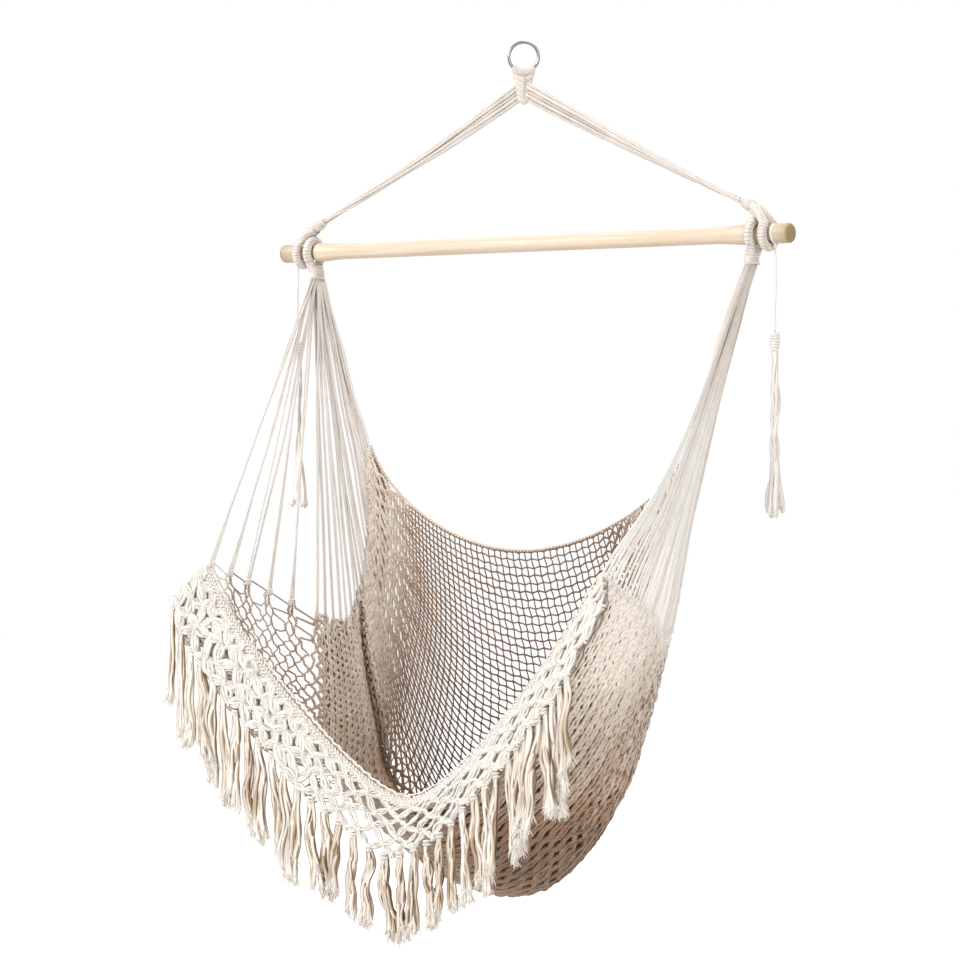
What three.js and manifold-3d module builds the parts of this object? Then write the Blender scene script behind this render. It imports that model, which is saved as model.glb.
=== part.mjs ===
// Hammock chair of knotted cotton cord, hung from one steel ring over a turned wooden spreader bar.
// Millimetres, +Z up, +X along the bar, the sitter faces -Y.
// The origin is the hang point: the inside of the ring's top, where a hook bears.

import * as THREE from 'three';
import { mergeVertices } from 'three/addons/utils/BufferGeometryUtils.js';
import Module from 'manifold-3d';

const wasm = await Module();
wasm.setup();

// Driving dimensions of the hanging ring and the knot under it
const ringOuterDiameter = 53;
const ringWireDiameter = 5;
const ringYawDegrees = 33;
const hitchCordDiameter = 4.5;
const hitchCount = 4;
const hitchArcDegrees = 24;
const hitchLegWidth = 7.2;
const hitchLegDepth = 8.6;
const hitchLegLeanShare = 0.06;
const pivotRadius = 8.5;
const knotLength = 43;
const knotTopWidth = 31;
const knotBottomWidth = 15;
const knotThickness = 10;
const knotRows = 4;
const knotLoopWidthShare = 0.42;
const knotLoopHeightShare = 0.52;
const knotLoopPlaceShare = 0.45;
const knotLoopTurnDegrees = 17;

// Driving dimensions of the bar and the ropes around it
const barDrop = 324;
const barLength = 1000;
const barDiameter = 26;
const shoulderDiameter = 32;
const shoulderLength = 62;
const shoulderShares = [[0.25, 0.6], [0.55, 0.15], [1, 0]];
const neckDiameter = 24;
const knobDiameter = 31;
const knobRound = 6;
const knobRoundShare = 0.3;
const seatEyeSpread = 868;
const hangerEyeSpread = 916;
const stopCordSpread = 939;
const servedRopeDiameter = 15;
const seatEyeLegSpreadDegrees = 42;
const seatEyeTailShares = [[0, 0.5, 0.86], [0.6, 1.1, 0.6]];
const hangerEyeLegSpreadDegrees = 40;
const hangerEyeTailShares = [[0.22, 0.4, 0.84], [0.6, 0.95, 0.68]];
const hangerKnotRise = 46;
const hangerKnotInset = 34;
const hangerKnotLength = 26;
const hangerKnotDiameter = 20;
const hangerCordDiameter = 5.5;
const hangerCordStartShares = [0.22, 0.44, 0.66, 0.88];
const hangerCordExitShare = 0.6;
const throatDrop = 46;
const throatInset = 6;
const throatLength = 22;
const throatWidth = 31;
const throatThickness = 19;

// Driving dimensions of the cords from the throats to the net
const fanCordDiameter = 4;
const fanCordCount = 12;
const fanBackCordCount = 4;

// Driving dimensions of the net, as drops below the hang point and distances from the bar's plane
const netCordThickness = 5;
const backCornerSpread = 630;
const backCornerDrop = 652;
const frontCornerSpread = 748;
const frontCornerDrop = 836;
const endRowLowDrop = 936;
const backEdgeDrop = 822;
const seatLowDrop = 1370;
const frontEdgeDrop = 1190;
const frontReach = 335;
const backBulge = 65;
const foldDepth = 14;
const netColumns = 16;
const netRows = 11;
const netRibWidthShare = 0.2;
const backEdgeCordDiameter = 7;

// Driving dimensions of the knotted front border and its fringe
const borderWidth = 84;
const borderThickness = 5;
const borderColumns = 24;
const borderRows = 3;
const borderRibShare = 0.16;
const borderMiddleLeanShares = [0, -0.35, -0.93];
const borderCornerLeanShares = [0.42, -0.62, -0.66];
const borderFlarePower = 1.5;
const borderFoldShare = 0.8;
const fringeLength = 150;
const fringeTopDiameter = 8;
const fringeBottomDiameter = 14;
const fringeStripDiameter = 6;
const fringePanels = 6;
const tasselsPerPanel = 6;

// Driving dimensions of the stop cords and the loose tails at the bar's ends
const stopCordDiameter = 3.5;
const stopKnotDiameter = 7;
const tailCordDiameter = 3;
const tailCordLength = 128;
const tailTasselLength = 292;
const tailTasselTopDiameter = 12;
const tailTasselBottomDiameter = 24;

// Clearance between neighbours, the overrun of every cut, and the facets of round forms
const gap = 0.3;
const cutOverrun = 4;
const tasselSides = 5;
const stripSides = 6;
const cordSides = 8;
const bundleSides = 10;
const hitchSides = 12;
const turnedSides = 16;
const ringSides = 32;
const ropeSteps = 20;
const eyeArcSteps = 9;

// Tolerance for joining corners, and the step by which directions on the seat's surface are taken
const weldTolerance = 1e-4;
const surfaceStep = 1e-3;

// Seat shape: where each row from back to front begins, and how it bends on its way to the middle
const endRowStationShares = [0, 0.25, 0.5, 0.75, 1];
const endRowSpreadShares = [0, -0.04, 0, 0.72, 1];
const endRowReachShares = [0, 0.015, 0.18, 0.57, 1];
const endRowBackDropShares = [0, 0.49, 1];
const endRowFrontDropShares = [0.45, 1];
const middleStationShares = [0, 0.25, 0.5, 0.62, 0.8, 1];
const middleReachShares = [0.045, 0, 0, 0.15, 0.57, 0.95];
const middleBulgeShares = [0, 1, 0.54, 0, 0, 0];
const middleBackDropShares = [0, 0.49, 0.9, 1];
const middleFrontDropShares = [0.39, 1];
const bendStationShares = [0, 0.5, 0.8, 1];
const cornerPullShares = [0.26, 0.46, 0.38, 0.12];
const middleFlatShares = [0.43, 0.49, 0.4, 0.32];
const foldPlaceShare = 0.62;
const foldWidthShare = 0.07;
const fanStepShare = 0.6;

// Sizes that follow from the driving dimensions
const ringRadius = (ringOuterDiameter - ringWireDiameter) / 2;
const ringCentreZ = ringWireDiameter / 2 - ringRadius;
const pivotZ = ringCentreZ - ringRadius;
const ringYaw = THREE.MathUtils.degToRad(ringYawDegrees);
const hitchArc = THREE.MathUtils.degToRad(hitchArcDegrees);
const knotTopZ = pivotZ - pivotRadius / 2;
const knotBottomZ = pivotZ - pivotRadius - knotLength;
const barZ = -barDrop;
const ropeRadius = servedRopeDiameter / 2;
const eyeRadius = neckDiameter / 2 + gap * 2 + ropeRadius;
const seatEyeX = seatEyeSpread / 2;
const hangerEyeX = hangerEyeSpread / 2;
const stopCordX = stopCordSpread / 2;
const neckInnerX = seatEyeX - ropeRadius - gap * 4;
const neckOuterX = stopCordX + stopCordDiameter / 2 + gap;
const throatZ = barZ - throatDrop;
const gather = new THREE.Vector3(seatEyeX - throatInset, 0, throatZ);

const cottonLight = { color: 0xe9e0d0, roughness: 0.95, metalness: 0 };
const cottonShade = { color: 0xcbb8a2, roughness: 0.95, metalness: 0 };
const pineWood = { color: 0xe2c79c, roughness: 0.55, metalness: 0 };
const nickelSteel = { color: 0xb9b9b6, roughness: 0.25, metalness: 1 };

// Closed meshes to solids and back

function toSolid(geometry) {
  const bare = geometry.index ? geometry.toNonIndexed() : geometry.clone();
  bare.deleteAttribute('normal');
  bare.deleteAttribute('uv');
  const merged = mergeVertices(bare, weldTolerance);
  const faces = [];
  const index = merged.index.array;
  for (let i = 0; i < index.length; i += 3) {
    const [a, b, c] = [index[i], index[i + 1], index[i + 2]];
    if (a !== b && b !== c && c !== a) faces.push(a, b, c);
  }
  return new wasm.Manifold(new wasm.Mesh({
    numProp: 3,
    vertProperties: new Float32Array(merged.attributes.position.array),
    triVerts: new Uint32Array(faces),
  }));
}

function toGeometry(solid) {
  const mesh = solid.getMesh();
  const geometry = new THREE.BufferGeometry();
  geometry.setAttribute('position', new THREE.Float32BufferAttribute(mesh.vertProperties, 3));
  geometry.setIndex(Array.from(mesh.triVerts));
  return geometry;
}

function joinSolids(geometries) {
  return geometries.map(toSolid).reduce((whole, part) => whole.add(part));
}

const chair = new THREE.Group();

function addPiece(name, geometry, finish) {
  geometry.computeVertexNormals();
  const mesh = new THREE.Mesh(geometry, new THREE.MeshStandardMaterial(finish));
  mesh.name = name;
  chair.add(mesh);
  return mesh;
}

// Small helpers for shapes

function mix(from, to, share) {
  return from + (to - from) * share;
}

function sideName(side) {
  return side < 0 ? 'left' : 'right';
}

function mirrorAcross(point, side) {
  return new THREE.Vector3(point.x * side, point.y, point.z);
}

function roundSection(radius, sides) {
  const corners = [];
  for (let i = 0; i < sides; i += 1) {
    const angle = (i / sides) * Math.PI * 2;
    corners.push(new THREE.Vector2(radius * Math.cos(angle), radius * Math.sin(angle)));
  }
  return new THREE.Shape(corners);
}

function tubeAlong(path, radius, sides, steps) {
  return new THREE.ExtrudeGeometry(roundSection(radius, sides), {
    extrudePath: path,
    steps,
    bevelEnabled: false,
  });
}

function straightCord(from, to, diameter) {
  return tubeAlong(new THREE.LineCurve3(from, to), diameter / 2, cordSides, 1);
}

// A path stepped evenly on its own parameter, so that its rings stand at the columns of what it follows
class EvenPath extends THREE.Curve {
  getPointAt(share, target) {
    return this.getPoint(share, target);
  }

  getTangentAt(share, target) {
    return this.getTangent(share, target);
  }
}

// A step of a given length away from a line, square to it
function stepAway(direction, along, length) {
  const unit = along.clone().normalize();
  return direction.clone().addScaledVector(unit, -direction.dot(unit)).setLength(length);
}

// A piecewise cubic through stations, with slopes taken from each station's neighbours
function stationValue(stations, values, place) {
  const last = stations.length - 1;
  const slopeAt = (i) => {
    const before = Math.max(i - 1, 0);
    const after = Math.min(i + 1, last);
    return (values[after] - values[before]) / (stations[after] - stations[before]);
  };
  let i = 0;
  while (i < last - 1 && place >= stations[i + 1]) i += 1;
  const width = stations[i + 1] - stations[i];
  const s = (place - stations[i]) / width;
  const rise = s * s * (3 - 2 * s);
  return values[i] * (1 - rise) + values[i + 1] * rise
    + width * s * (1 - s) * ((1 - s) * slopeAt(i) - s * slopeAt(i + 1));
}

// The seat's surface: rows run from side to side, and the row number goes from 0 at the back edge
// to 1 at the front edge. Each half row is a cubic from its corner, which it leaves in line with its
// cord, to the middle, which it reaches level.

const endRowSpreads = endRowSpreadShares.map((share) => mix(backCornerSpread, frontCornerSpread, share) / 2);
const endRowReaches = endRowReachShares.map((share) => -frontReach * share);
const endRowDrops = [
  ...endRowBackDropShares.map((share) => mix(backCornerDrop, endRowLowDrop, share)),
  ...endRowFrontDropShares.map((share) => mix(endRowLowDrop, frontCornerDrop, share)),
];
const middleReaches = middleReachShares.map((share, i) => backBulge * middleBulgeShares[i] - frontReach * share);
const middleDrops = [
  ...middleBackDropShares.map((share) => mix(backEdgeDrop, seatLowDrop, share)),
  ...middleFrontDropShares.map((share) => mix(seatLowDrop, frontEdgeDrop, share)),
];

function rowCorner(row) {
  return new THREE.Vector3(
    stationValue(endRowStationShares, endRowSpreads, row),
    stationValue(endRowStationShares, endRowReaches, row),
    -stationValue(endRowStationShares, endRowDrops, row),
  );
}

function rowMiddle(row) {
  return new THREE.Vector3(
    0,
    stationValue(middleStationShares, middleReaches, row),
    -stationValue(middleStationShares, middleDrops, row),
  );
}

function smoothSeatPoint(across, row) {
  const corner = rowCorner(row);
  const middle = rowMiddle(row);
  const pull = stationValue(bendStationShares, cornerPullShares, row);
  const flat = stationValue(bendStationShares, middleFlatShares, row) * backCornerSpread / 2;
  const leave = corner.clone().sub(gather).setLength(corner.distanceTo(middle) * pull);
  const half = new THREE.CubicBezierCurve3(
    corner,
    corner.clone().add(leave),
    middle.clone().add(new THREE.Vector3(flat, 0, 0)),
    middle,
  );
  return mirrorAcross(half.getPoint(1 - Math.abs(across)), across < 0 ? -1 : 1);
}

// A surface's normal from two short differences on its parameters
function surfaceNormal(pointAt, across, row) {
  const acrossStep = across > 1 - surfaceStep ? -surfaceStep : surfaceStep;
  const rowStep = row > 1 - surfaceStep ? -surfaceStep : surfaceStep;
  const here = pointAt(across, row);
  const alongAcross = pointAt(across + acrossStep, row).sub(here).divideScalar(acrossStep);
  const alongRow = pointAt(across, row + rowStep).sub(here).divideScalar(rowStep);
  return alongAcross.cross(alongRow).normalize();
}

// The seat with one main fold down each side wall
function seatPoint(across, row) {
  const away = (Math.abs(across) - foldPlaceShare) / foldWidthShare;
  const depth = foldDepth * Math.exp(-away * away) * Math.sin(Math.PI * row) ** 2;
  const normal = surfaceNormal(smoothSeatPoint, across, row);
  return smoothSeatPoint(across, row).addScaledVector(normal, depth);
}

// A surface with openings, made into a closed shell. The top is a list of triangles, the underside is
// the same list turned over, and every edge that has one triangle gets a wall, at rim and opening alike.

function closedShell(cells, pointAt, thickness) {
  const places = new Map();
  const tops = [];
  const bottoms = [];
  const placeOf = ([across, row]) => {
    const key = `${across.toFixed(5)} ${row.toFixed(5)}`;
    if (!places.has(key)) {
      places.set(key, tops.length);
      const point = pointAt(across, row);
      const lift = surfaceNormal(pointAt, across, row).multiplyScalar(thickness / 2);
      tops.push(point.clone().add(lift));
      bottoms.push(point.clone().sub(lift));
    }
    return places.get(key);
  };
  const faces = cells.map((triangle) => triangle.map(placeOf));
  const count = tops.length;
  const edges = new Set(faces.flatMap(([a, b, c]) => [`${a} ${b}`, `${b} ${c}`, `${c} ${a}`]));
  const index = [];
  for (const [a, b, c] of faces) {
    index.push(a, b, c, c + count, b + count, a + count);
    for (const [from, to] of [[a, b], [b, c], [c, a]]) {
      if (!edges.has(`${to} ${from}`)) {
        index.push(to, from, from + count, to, from + count, to + count);
      }
    }
  }
  const geometry = new THREE.BufferGeometry();
  geometry.setFromPoints([...tops, ...bottoms]);
  geometry.setIndex(index);
  return geometry;
}

// One opening in each cell, square or diamond, as triangles on the surface's parameters

function squareCell(left, right, low, high, ribShare) {
  const inX = (right - left) * ribShare;
  const inY = (high - low) * ribShare;
  const outer = [[left, low], [right, low], [right, high], [left, high]];
  const inner = [[left + inX, low + inY], [right - inX, low + inY], [right - inX, high - inY], [left + inX, high - inY]];
  return outer.flatMap((corner, i) => {
    const next = (i + 1) % outer.length;
    return [[corner, outer[next], inner[next]], [corner, inner[next], inner[i]]];
  });
}

function diamondCell(left, right, low, high, ribShare) {
  const midX = (left + right) / 2;
  const midY = (low + high) / 2;
  const inX = (right - left) * ribShare;
  const inY = (high - low) * ribShare;
  const corners = [[left, low], [right, low], [right, high], [left, high]];
  const mids = [[midX, low], [right, midY], [midX, high], [left, midY]];
  const holes = [[midX, low + inY], [right - inX, midY], [midX, high - inY], [left + inX, midY]];
  return corners.flatMap((corner, i) => {
    const before = (i + 3) % 4;
    return [
      [corner, mids[i], holes[i]],
      [corner, holes[i], holes[before]],
      [corner, holes[before], mids[before]],
    ];
  });
}

function openworkCells(columns, rows, ribShare, cellKind) {
  const cells = [];
  for (let i = 0; i < columns; i += 1) {
    for (let j = 0; j < rows; j += 1) {
      const left = mix(-1, 1, i / columns);
      const right = mix(-1, 1, (i + 1) / columns);
      cells.push(...cellKind(left, right, j / rows, (j + 1) / rows, ribShare));
    }
  }
  return cells;
}

// Upright steel ring, turned about the vertical away from the bar's line

function addHangingRing() {
  const ring = new THREE.TorusGeometry(ringRadius, ringWireDiameter / 2, cordSides, ringSides);
  ring.rotateX(Math.PI / 2);
  ring.rotateZ(ringYaw);
  ring.translate(0, 0, ringCentreZ);
  addPiece('hanging_ring', ring, nickelSteel);
}

// Cord hitched twice round the ring's wire, with its legs cut round the line on which the chair swings

function addRingHitch(number) {
  const angle = (number - (hitchCount + 1) / 2) * hitchArc;
  const wireBow = ringRadius * (1 - Math.cos(hitchArc / 2));
  const innerRadius = (ringWireDiameter / 2 + gap + wireBow / 2) / Math.cos(Math.PI / hitchSides);
  const wrapRadius = innerRadius + hitchCordDiameter / 2;
  const wrap = new THREE.TorusGeometry(wrapRadius, hitchCordDiameter / 2, cordSides, hitchSides);
  const hitchWidth = (ringRadius - wrapRadius) * hitchArc - gap * 2;
  wrap.scale(1, 1, hitchWidth / hitchCordDiameter);
  wrap.rotateY(Math.PI / 2);
  wrap.rotateY(-angle);
  const x = ringRadius * Math.sin(angle);
  const z = ringCentreZ - ringRadius * Math.cos(angle);
  wrap.translate(x, 0, z);
  const legDrop = z - (pivotZ - pivotRadius);
  const wire = new THREE.TorusGeometry(ringRadius, innerRadius, hitchSides, ringSides);
  wire.rotateX(Math.PI / 2);
  wire.translate(0, 0, ringCentreZ);
  const legTop = z - innerRadius - hitchCordDiameter / 3;
  const legHeight = legTop - (pivotZ - pivotRadius) + cutOverrun;
  const leg = new THREE.CylinderGeometry(hitchLegWidth / 2, hitchLegWidth / 2, legHeight, cordSides);
  leg.rotateX(Math.PI / 2);
  leg.scale(1, hitchLegDepth / hitchLegWidth, 1);
  leg.translate(x * (1 - hitchLegLeanShare * legDrop / knotLength), 0, legTop - legHeight / 2);
  const pivot = new THREE.CylinderGeometry(pivotRadius, pivotRadius, ringOuterDiameter * 2, ringSides);
  pivot.rotateZ(Math.PI / 2);
  pivot.translate(0, 0, pivotZ);
  const roof = new THREE.BoxGeometry(ringOuterDiameter, ringOuterDiameter, ringOuterDiameter);
  roof.translate(0, 0, pivotZ + ringOuterDiameter / 2);
  const keep = toSolid(pivot).add(toSolid(roof));
  const solid = toSolid(wrap).add(toSolid(leg).intersect(keep).subtract(toSolid(wire)));
  const geometry = toGeometry(solid);
  geometry.rotateZ(ringYaw);
  addPiece(`ring_hitch_${number}`, geometry, cottonLight);
}

// The flat knot under the ring: a tapered core with two rows of loops on its front and on its back,
// hollowed at the top round the line on which the chair swings

function knotWidthAt(z) {
  const share = (pivotZ - pivotRadius - z) / knotLength;
  return mix(knotTopWidth, knotBottomWidth, Math.max(share, 0));
}

function knotCore(grow, thickness) {
  const half = thickness / 2;
  const topHalf = knotWidthAt(pivotZ - pivotRadius) / 2 + grow;
  const bottomHalf = knotBottomWidth / 2 + grow;
  const outline = new THREE.Shape([
    new THREE.Vector2(-topHalf, knotTopZ),
    new THREE.Vector2(-topHalf, pivotZ - pivotRadius),
    new THREE.Vector2(-bottomHalf, knotBottomZ - grow),
    new THREE.Vector2(bottomHalf, knotBottomZ - grow),
    new THREE.Vector2(topHalf, pivotZ - pivotRadius),
    new THREE.Vector2(topHalf, knotTopZ),
  ]);
  const core = new THREE.ExtrudeGeometry(outline, { depth: half * 2, bevelEnabled: false });
  core.translate(0, 0, -half);
  core.rotateX(Math.PI / 2);
  return core;
}

function knotLoops() {
  const loops = [];
  const rowHeight = knotLength / knotRows;
  for (let row = 0; row < knotRows; row += 1) {
    const z = pivotZ - pivotRadius - rowHeight * (row + 0.5);
    const loopWidth = knotWidthAt(z) / 2;
    for (const face of [-1, 1]) {
      for (const side of [-1, 1]) {
        const loop = new THREE.SphereGeometry(1, cordSides, stripSides);
        loop.scale(loopWidth * knotLoopWidthShare, hitchCordDiameter / 2, rowHeight * knotLoopHeightShare);
        loop.rotateY(side * face * THREE.MathUtils.degToRad(knotLoopTurnDegrees));
        loop.translate(side * loopWidth * knotLoopPlaceShare, face * knotThickness / 2, z);
        loops.push(loop);
      }
    }
  }
  return loops;
}

function addMacrameKnot() {
  const hollow = pivotRadius + gap;
  const pivot = new THREE.CylinderGeometry(hollow, hollow, ringOuterDiameter * 2, ringSides);
  pivot.rotateZ(Math.PI / 2);
  pivot.translate(0, 0, pivotZ);
  const roof = new THREE.BoxGeometry(ringOuterDiameter, ringOuterDiameter, ringOuterDiameter);
  roof.translate(0, 0, pivotZ - pivotRadius + ringOuterDiameter / 2 + gap * 2);
  const whole = joinSolids([knotCore(0, knotThickness), ...knotLoops()]);
  const geometry = toGeometry(whole.subtract(toSolid(pivot)).subtract(toSolid(roof)));
  geometry.rotateZ(ringYaw);
  addPiece('macrame_knot', geometry, cottonLight);
}

// Where the hanger's cords end: at a knot above the seat's eye, square to the cords

const hangerKnotCentre = new THREE.Vector3(hangerEyeX - hangerKnotInset, 0, barZ + hangerKnotRise);
const knotExit = new THREE.Vector3(0, 0, mix(pivotZ - pivotRadius, knotBottomZ, hangerCordExitShare));
const hangerDirection = hangerKnotCentre.clone().sub(knotExit).normalize();

function addHangerCords(side) {
  const cut = knotCore(gap, knotThickness * 3);
  cut.rotateZ(ringYaw);
  const cutSolid = toSolid(cut);
  const spacing = hangerCordDiameter / 2 + gap / 2;
  const upward = new THREE.Vector3(-hangerDirection.z, 0, hangerDirection.x);
  hangerCordStartShares.forEach((share, i) => {
    const layer = i % 2 === 0 ? -1 : 1;
    const level = i < hangerCordStartShares.length / 2 ? 1 : -1;
    const start = new THREE.Vector3(0, layer * spacing, mix(pivotZ - pivotRadius, knotBottomZ, share));
    const end = hangerKnotCentre.clone().addScaledVector(hangerDirection, -hangerKnotLength / 2 - gap);
    end.addScaledVector(upward, level * spacing);
    end.y = layer * spacing;
    const cord = straightCord(mirrorAcross(start, side), mirrorAcross(end, side), hangerCordDiameter);
    const pieces = toSolid(cord).subtract(cutSolid).decompose();
    const outer = pieces.reduce((most, piece) => (piece.volume() > most.volume() ? piece : most));
    addPiece(`hanger_cord_${sideName(side)}_${i + 1}`, toGeometry(outer), cottonLight);
  });
}

// A served rope that goes round the bar's neck, with both legs drawn together above or below it

function eyeLoop(eyeX, legSpreadDegrees, tail) {
  const legSpread = THREE.MathUtils.degToRad(legSpreadDegrees);
  const points = tail.map((point) => point.clone());
  for (let i = 0; i <= eyeArcSteps; i += 1) {
    const angle = mix(legSpread, Math.PI * 2 - legSpread, i / eyeArcSteps);
    points.push(new THREE.Vector3(eyeX, eyeRadius * Math.sin(angle), eyeRadius * Math.cos(angle)));
  }
  for (const point of [...tail].reverse()) {
    points.push(new THREE.Vector3(point.x, -point.y, point.z));
  }
  return new THREE.CatmullRomCurve3(points, false, 'centripetal');
}

function addHangerEye(side) {
  const tail = hangerEyeTailShares.map(([out, aside, up]) => new THREE.Vector3(
    mix(hangerKnotCentre.x, hangerEyeX, out),
    ropeRadius * aside,
    hangerKnotRise * up,
  ));
  const path = eyeLoop(hangerEyeX, hangerEyeLegSpreadDegrees, tail);
  const loop = tubeAlong(path, ropeRadius, cordSides, ropeSteps);
  loop.translate(0, 0, barZ);
  const bulbShares = [[0, -0.5], [0.62, -0.5], [1, -0.2], [0.95, 0.15], [0.6, 0.5], [0, 0.5]];
  const profile = bulbShares.map(([out, along]) => new THREE.Vector2(
    out * hangerKnotDiameter / 2,
    along * hangerKnotLength,
  ));
  const bulb = new THREE.LatheGeometry(profile, cordSides);
  bulb.applyQuaternion(new THREE.Quaternion().setFromUnitVectors(new THREE.Vector3(0, 1, 0), hangerDirection));
  bulb.translate(hangerKnotCentre.x, hangerKnotCentre.y, hangerKnotCentre.z);
  const solid = joinSolids([loop, bulb]);
  addPiece(`hanger_eye_${sideName(side)}`, mirrored(toGeometry(solid), side), cottonLight);
}

function mirrored(geometry, side) {
  if (side > 0) return geometry;
  geometry.scale(-1, 1, 1);
  const index = geometry.index.array;
  for (let i = 0; i < index.length; i += 3) {
    [index[i], index[i + 1]] = [index[i + 1], index[i]];
  }
  return geometry;
}

function addSeatEye(side) {
  const tail = seatEyeTailShares.map(([out, aside, down]) => new THREE.Vector3(
    mix(gather.x, seatEyeX, out),
    ropeRadius * aside,
    throatDrop * down,
  ));
  const path = eyeLoop(seatEyeX, seatEyeLegSpreadDegrees, tail);
  const loop = tubeAlong(path, ropeRadius, cordSides, ropeSteps);
  loop.rotateX(Math.PI);
  loop.translate(0, 0, barZ);
  const throatShares = [[0, 0], [0.92, 0], [1, 0.25], [0.86, 0.7], [0.5, 1], [0, 1]];
  const profile = throatShares.map(([out, up]) => new THREE.Vector2(out * throatWidth / 2, up * throatLength));
  const throat = new THREE.LatheGeometry(profile, bundleSides);
  throat.rotateX(Math.PI / 2);
  throat.scale(throatThickness / throatWidth, 1, 1);
  throat.translate(gather.x, 0, throatZ);
  const floor = new THREE.BoxGeometry(barDiameter * 2, barDiameter * 2, throatDrop);
  floor.translate(gather.x, 0, throatZ - throatDrop / 2);
  const eye = toGeometry(joinSolids([loop, throat]).subtract(toSolid(floor)));
  addPiece(`seat_eye_${sideName(side)}`, mirrored(eye, side), cottonLight);
}

// Turned bar: straight in the middle, swelling to a shoulder beside each neck, with a rounded knob outside

function addSpreaderBar() {
  const end = barLength / 2;
  const halfProfile = [
    [end, 0],
    [end, knobDiameter / 2 - knobRound],
    [end - knobRound * knobRoundShare, knobDiameter / 2 - knobRound * knobRoundShare],
    [end - knobRound, knobDiameter / 2],
    [neckOuterX + gap * 4, knobDiameter / 2],
    [neckOuterX, knobDiameter / 2 - gap * 4],
    [neckOuterX, neckDiameter / 2],
    [neckInnerX, neckDiameter / 2],
    [neckInnerX, shoulderDiameter / 2 - gap * 4],
    [neckInnerX - gap * 4, shoulderDiameter / 2],
    ...shoulderShares.map(([inward, swell]) => [
      neckInnerX - shoulderLength * inward,
      mix(barDiameter, shoulderDiameter, swell) / 2,
    ]),
  ];
  const left = halfProfile.map(([x, radius]) => new THREE.Vector2(radius, -x));
  const right = [...halfProfile].reverse().map(([x, radius]) => new THREE.Vector2(radius, x));
  const bar = new THREE.LatheGeometry([...left, ...right], turnedSides);
  bar.rotateZ(-Math.PI / 2);
  bar.translate(0, 0, barZ);
  addPiece('spreader_bar', bar, pineWood);
}

// Taut cords that fan out from each throat to the net's end row, in two layers so that none cross

function fanCordRow(number) {
  return (number - 0.5) / fanCordCount;
}

// Where a cord leaves the throat: the back cords side by side, the others behind one another in two layers
function fanCordStart(number) {
  const pitch = fanCordDiameter + gap;
  const step = pitch * fanStepShare;
  const backY = (pitch + step * (fanCordCount - fanBackCordCount - 1)) / 2;
  const start = gather.clone();
  if (number <= fanBackCordCount) {
    start.x += (number - (fanBackCordCount + 1) / 2) * pitch;
    start.y += backY;
  } else {
    start.x += (number % 2 === 0 ? 0.5 : -0.5) * pitch;
    start.y += backY - pitch - step * (number - fanBackCordCount - 1);
  }
  return start;
}

// The net's end row as it is built, straight from one row of openings to the next
function netRimPoint(row) {
  const place = Math.min(Math.floor(row * netRows), netRows - 1);
  const from = seatPoint(1, place / netRows);
  return from.lerp(seatPoint(1, (place + 1) / netRows), row * netRows - place);
}

function addFanCords(side) {
  const radius = fanCordDiameter / 2;
  for (let number = 1; number <= fanCordCount; number += 1) {
    const row = fanCordRow(number);
    const start = fanCordStart(number);
    const corner = netRimPoint(row);
    const rim = netRimPoint(row + surfaceStep).sub(netRimPoint(row - surfaceStep)).normalize();
    const run = corner.clone().sub(start).normalize();
    const along = Math.abs(run.dot(rim));
    const slant = Math.sqrt(1 - along * along);
    const topSlant = Math.sqrt(1 - run.z * run.z);
    start.addScaledVector(run, gap + radius * topSlant);
    const end = corner.clone().addScaledVector(run, -(gap + radius * along) / slant - gap * 2);
    const cord = straightCord(mirrorAcross(start, side), mirrorAcross(end, side), fanCordDiameter);
    const label = String(number).padStart(2, '0');
    addPiece(`fan_cord_${sideName(side)}_${label}`, cord, cottonLight);
  }
}

function addSeatNet() {
  const cells = openworkCells(netColumns, netRows, netRibWidthShare, squareCell);
  addPiece('seat_net', closedShell(cells, seatPoint, netCordThickness), cottonShade);
}

// The back edge's cord lies along the net's back row, just above it

class BackEdgePath extends EvenPath {
  getPoint(share, target = new THREE.Vector3()) {
    const across = mix(-1, 1, share);
    const edge = seatPoint(across, 0);
    const upward = edge.clone().sub(seatPoint(across, surfaceStep));
    const along = seatPoint(across + surfaceStep, 0).sub(seatPoint(across - surfaceStep, 0));
    return target.copy(edge).add(stepAway(upward, along, gap * 2 + backEdgeCordDiameter / 2));
  }
}

function addBackEdgeCord() {
  const cord = tubeAlong(new BackEdgePath(), backEdgeCordDiameter / 2, cordSides, netColumns);
  addPiece('back_edge_cord', cord, cottonLight);
}

// The border folds over the front edge and hangs down in the middle, and stands out at the corners

function borderDirection(across) {
  const flare = Math.abs(across) ** borderFlarePower;
  const middle = new THREE.Vector3(...borderMiddleLeanShares);
  const corner = mirrorAcross(new THREE.Vector3(...borderCornerLeanShares), across < 0 ? -1 : 1);
  return middle.lerp(corner, flare).normalize();
}

function borderPoint(across, share) {
  const fold = (netCordThickness + borderThickness) / 2 * borderFoldShare + gap;
  const edge = seatPoint(across, 1);
  return edge.addScaledVector(borderDirection(across), fold + borderWidth * share);
}

function addFrontBorder() {
  const cells = openworkCells(borderColumns, borderRows, borderRibShare, diamondCell);
  addPiece('front_border', closedShell(cells, borderPoint, borderThickness), cottonLight);
}

// Fringe: each panel is a knotted strip along the border's outer edge with its tassels hanging from it

class FringeStripPath extends EvenPath {
  constructor(from, to) {
    super();
    this.from = from;
    this.to = to;
  }

  getPoint(share, target = new THREE.Vector3()) {
    const across = mix(this.from, this.to, share);
    const along = borderPoint(across + surfaceStep, 1).sub(borderPoint(across - surfaceStep, 1));
    const away = stepAway(borderDirection(across), along, fringeStripDiameter / 2 + gap * 3);
    return target.copy(borderPoint(across, 1)).add(away);
  }
}

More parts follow.
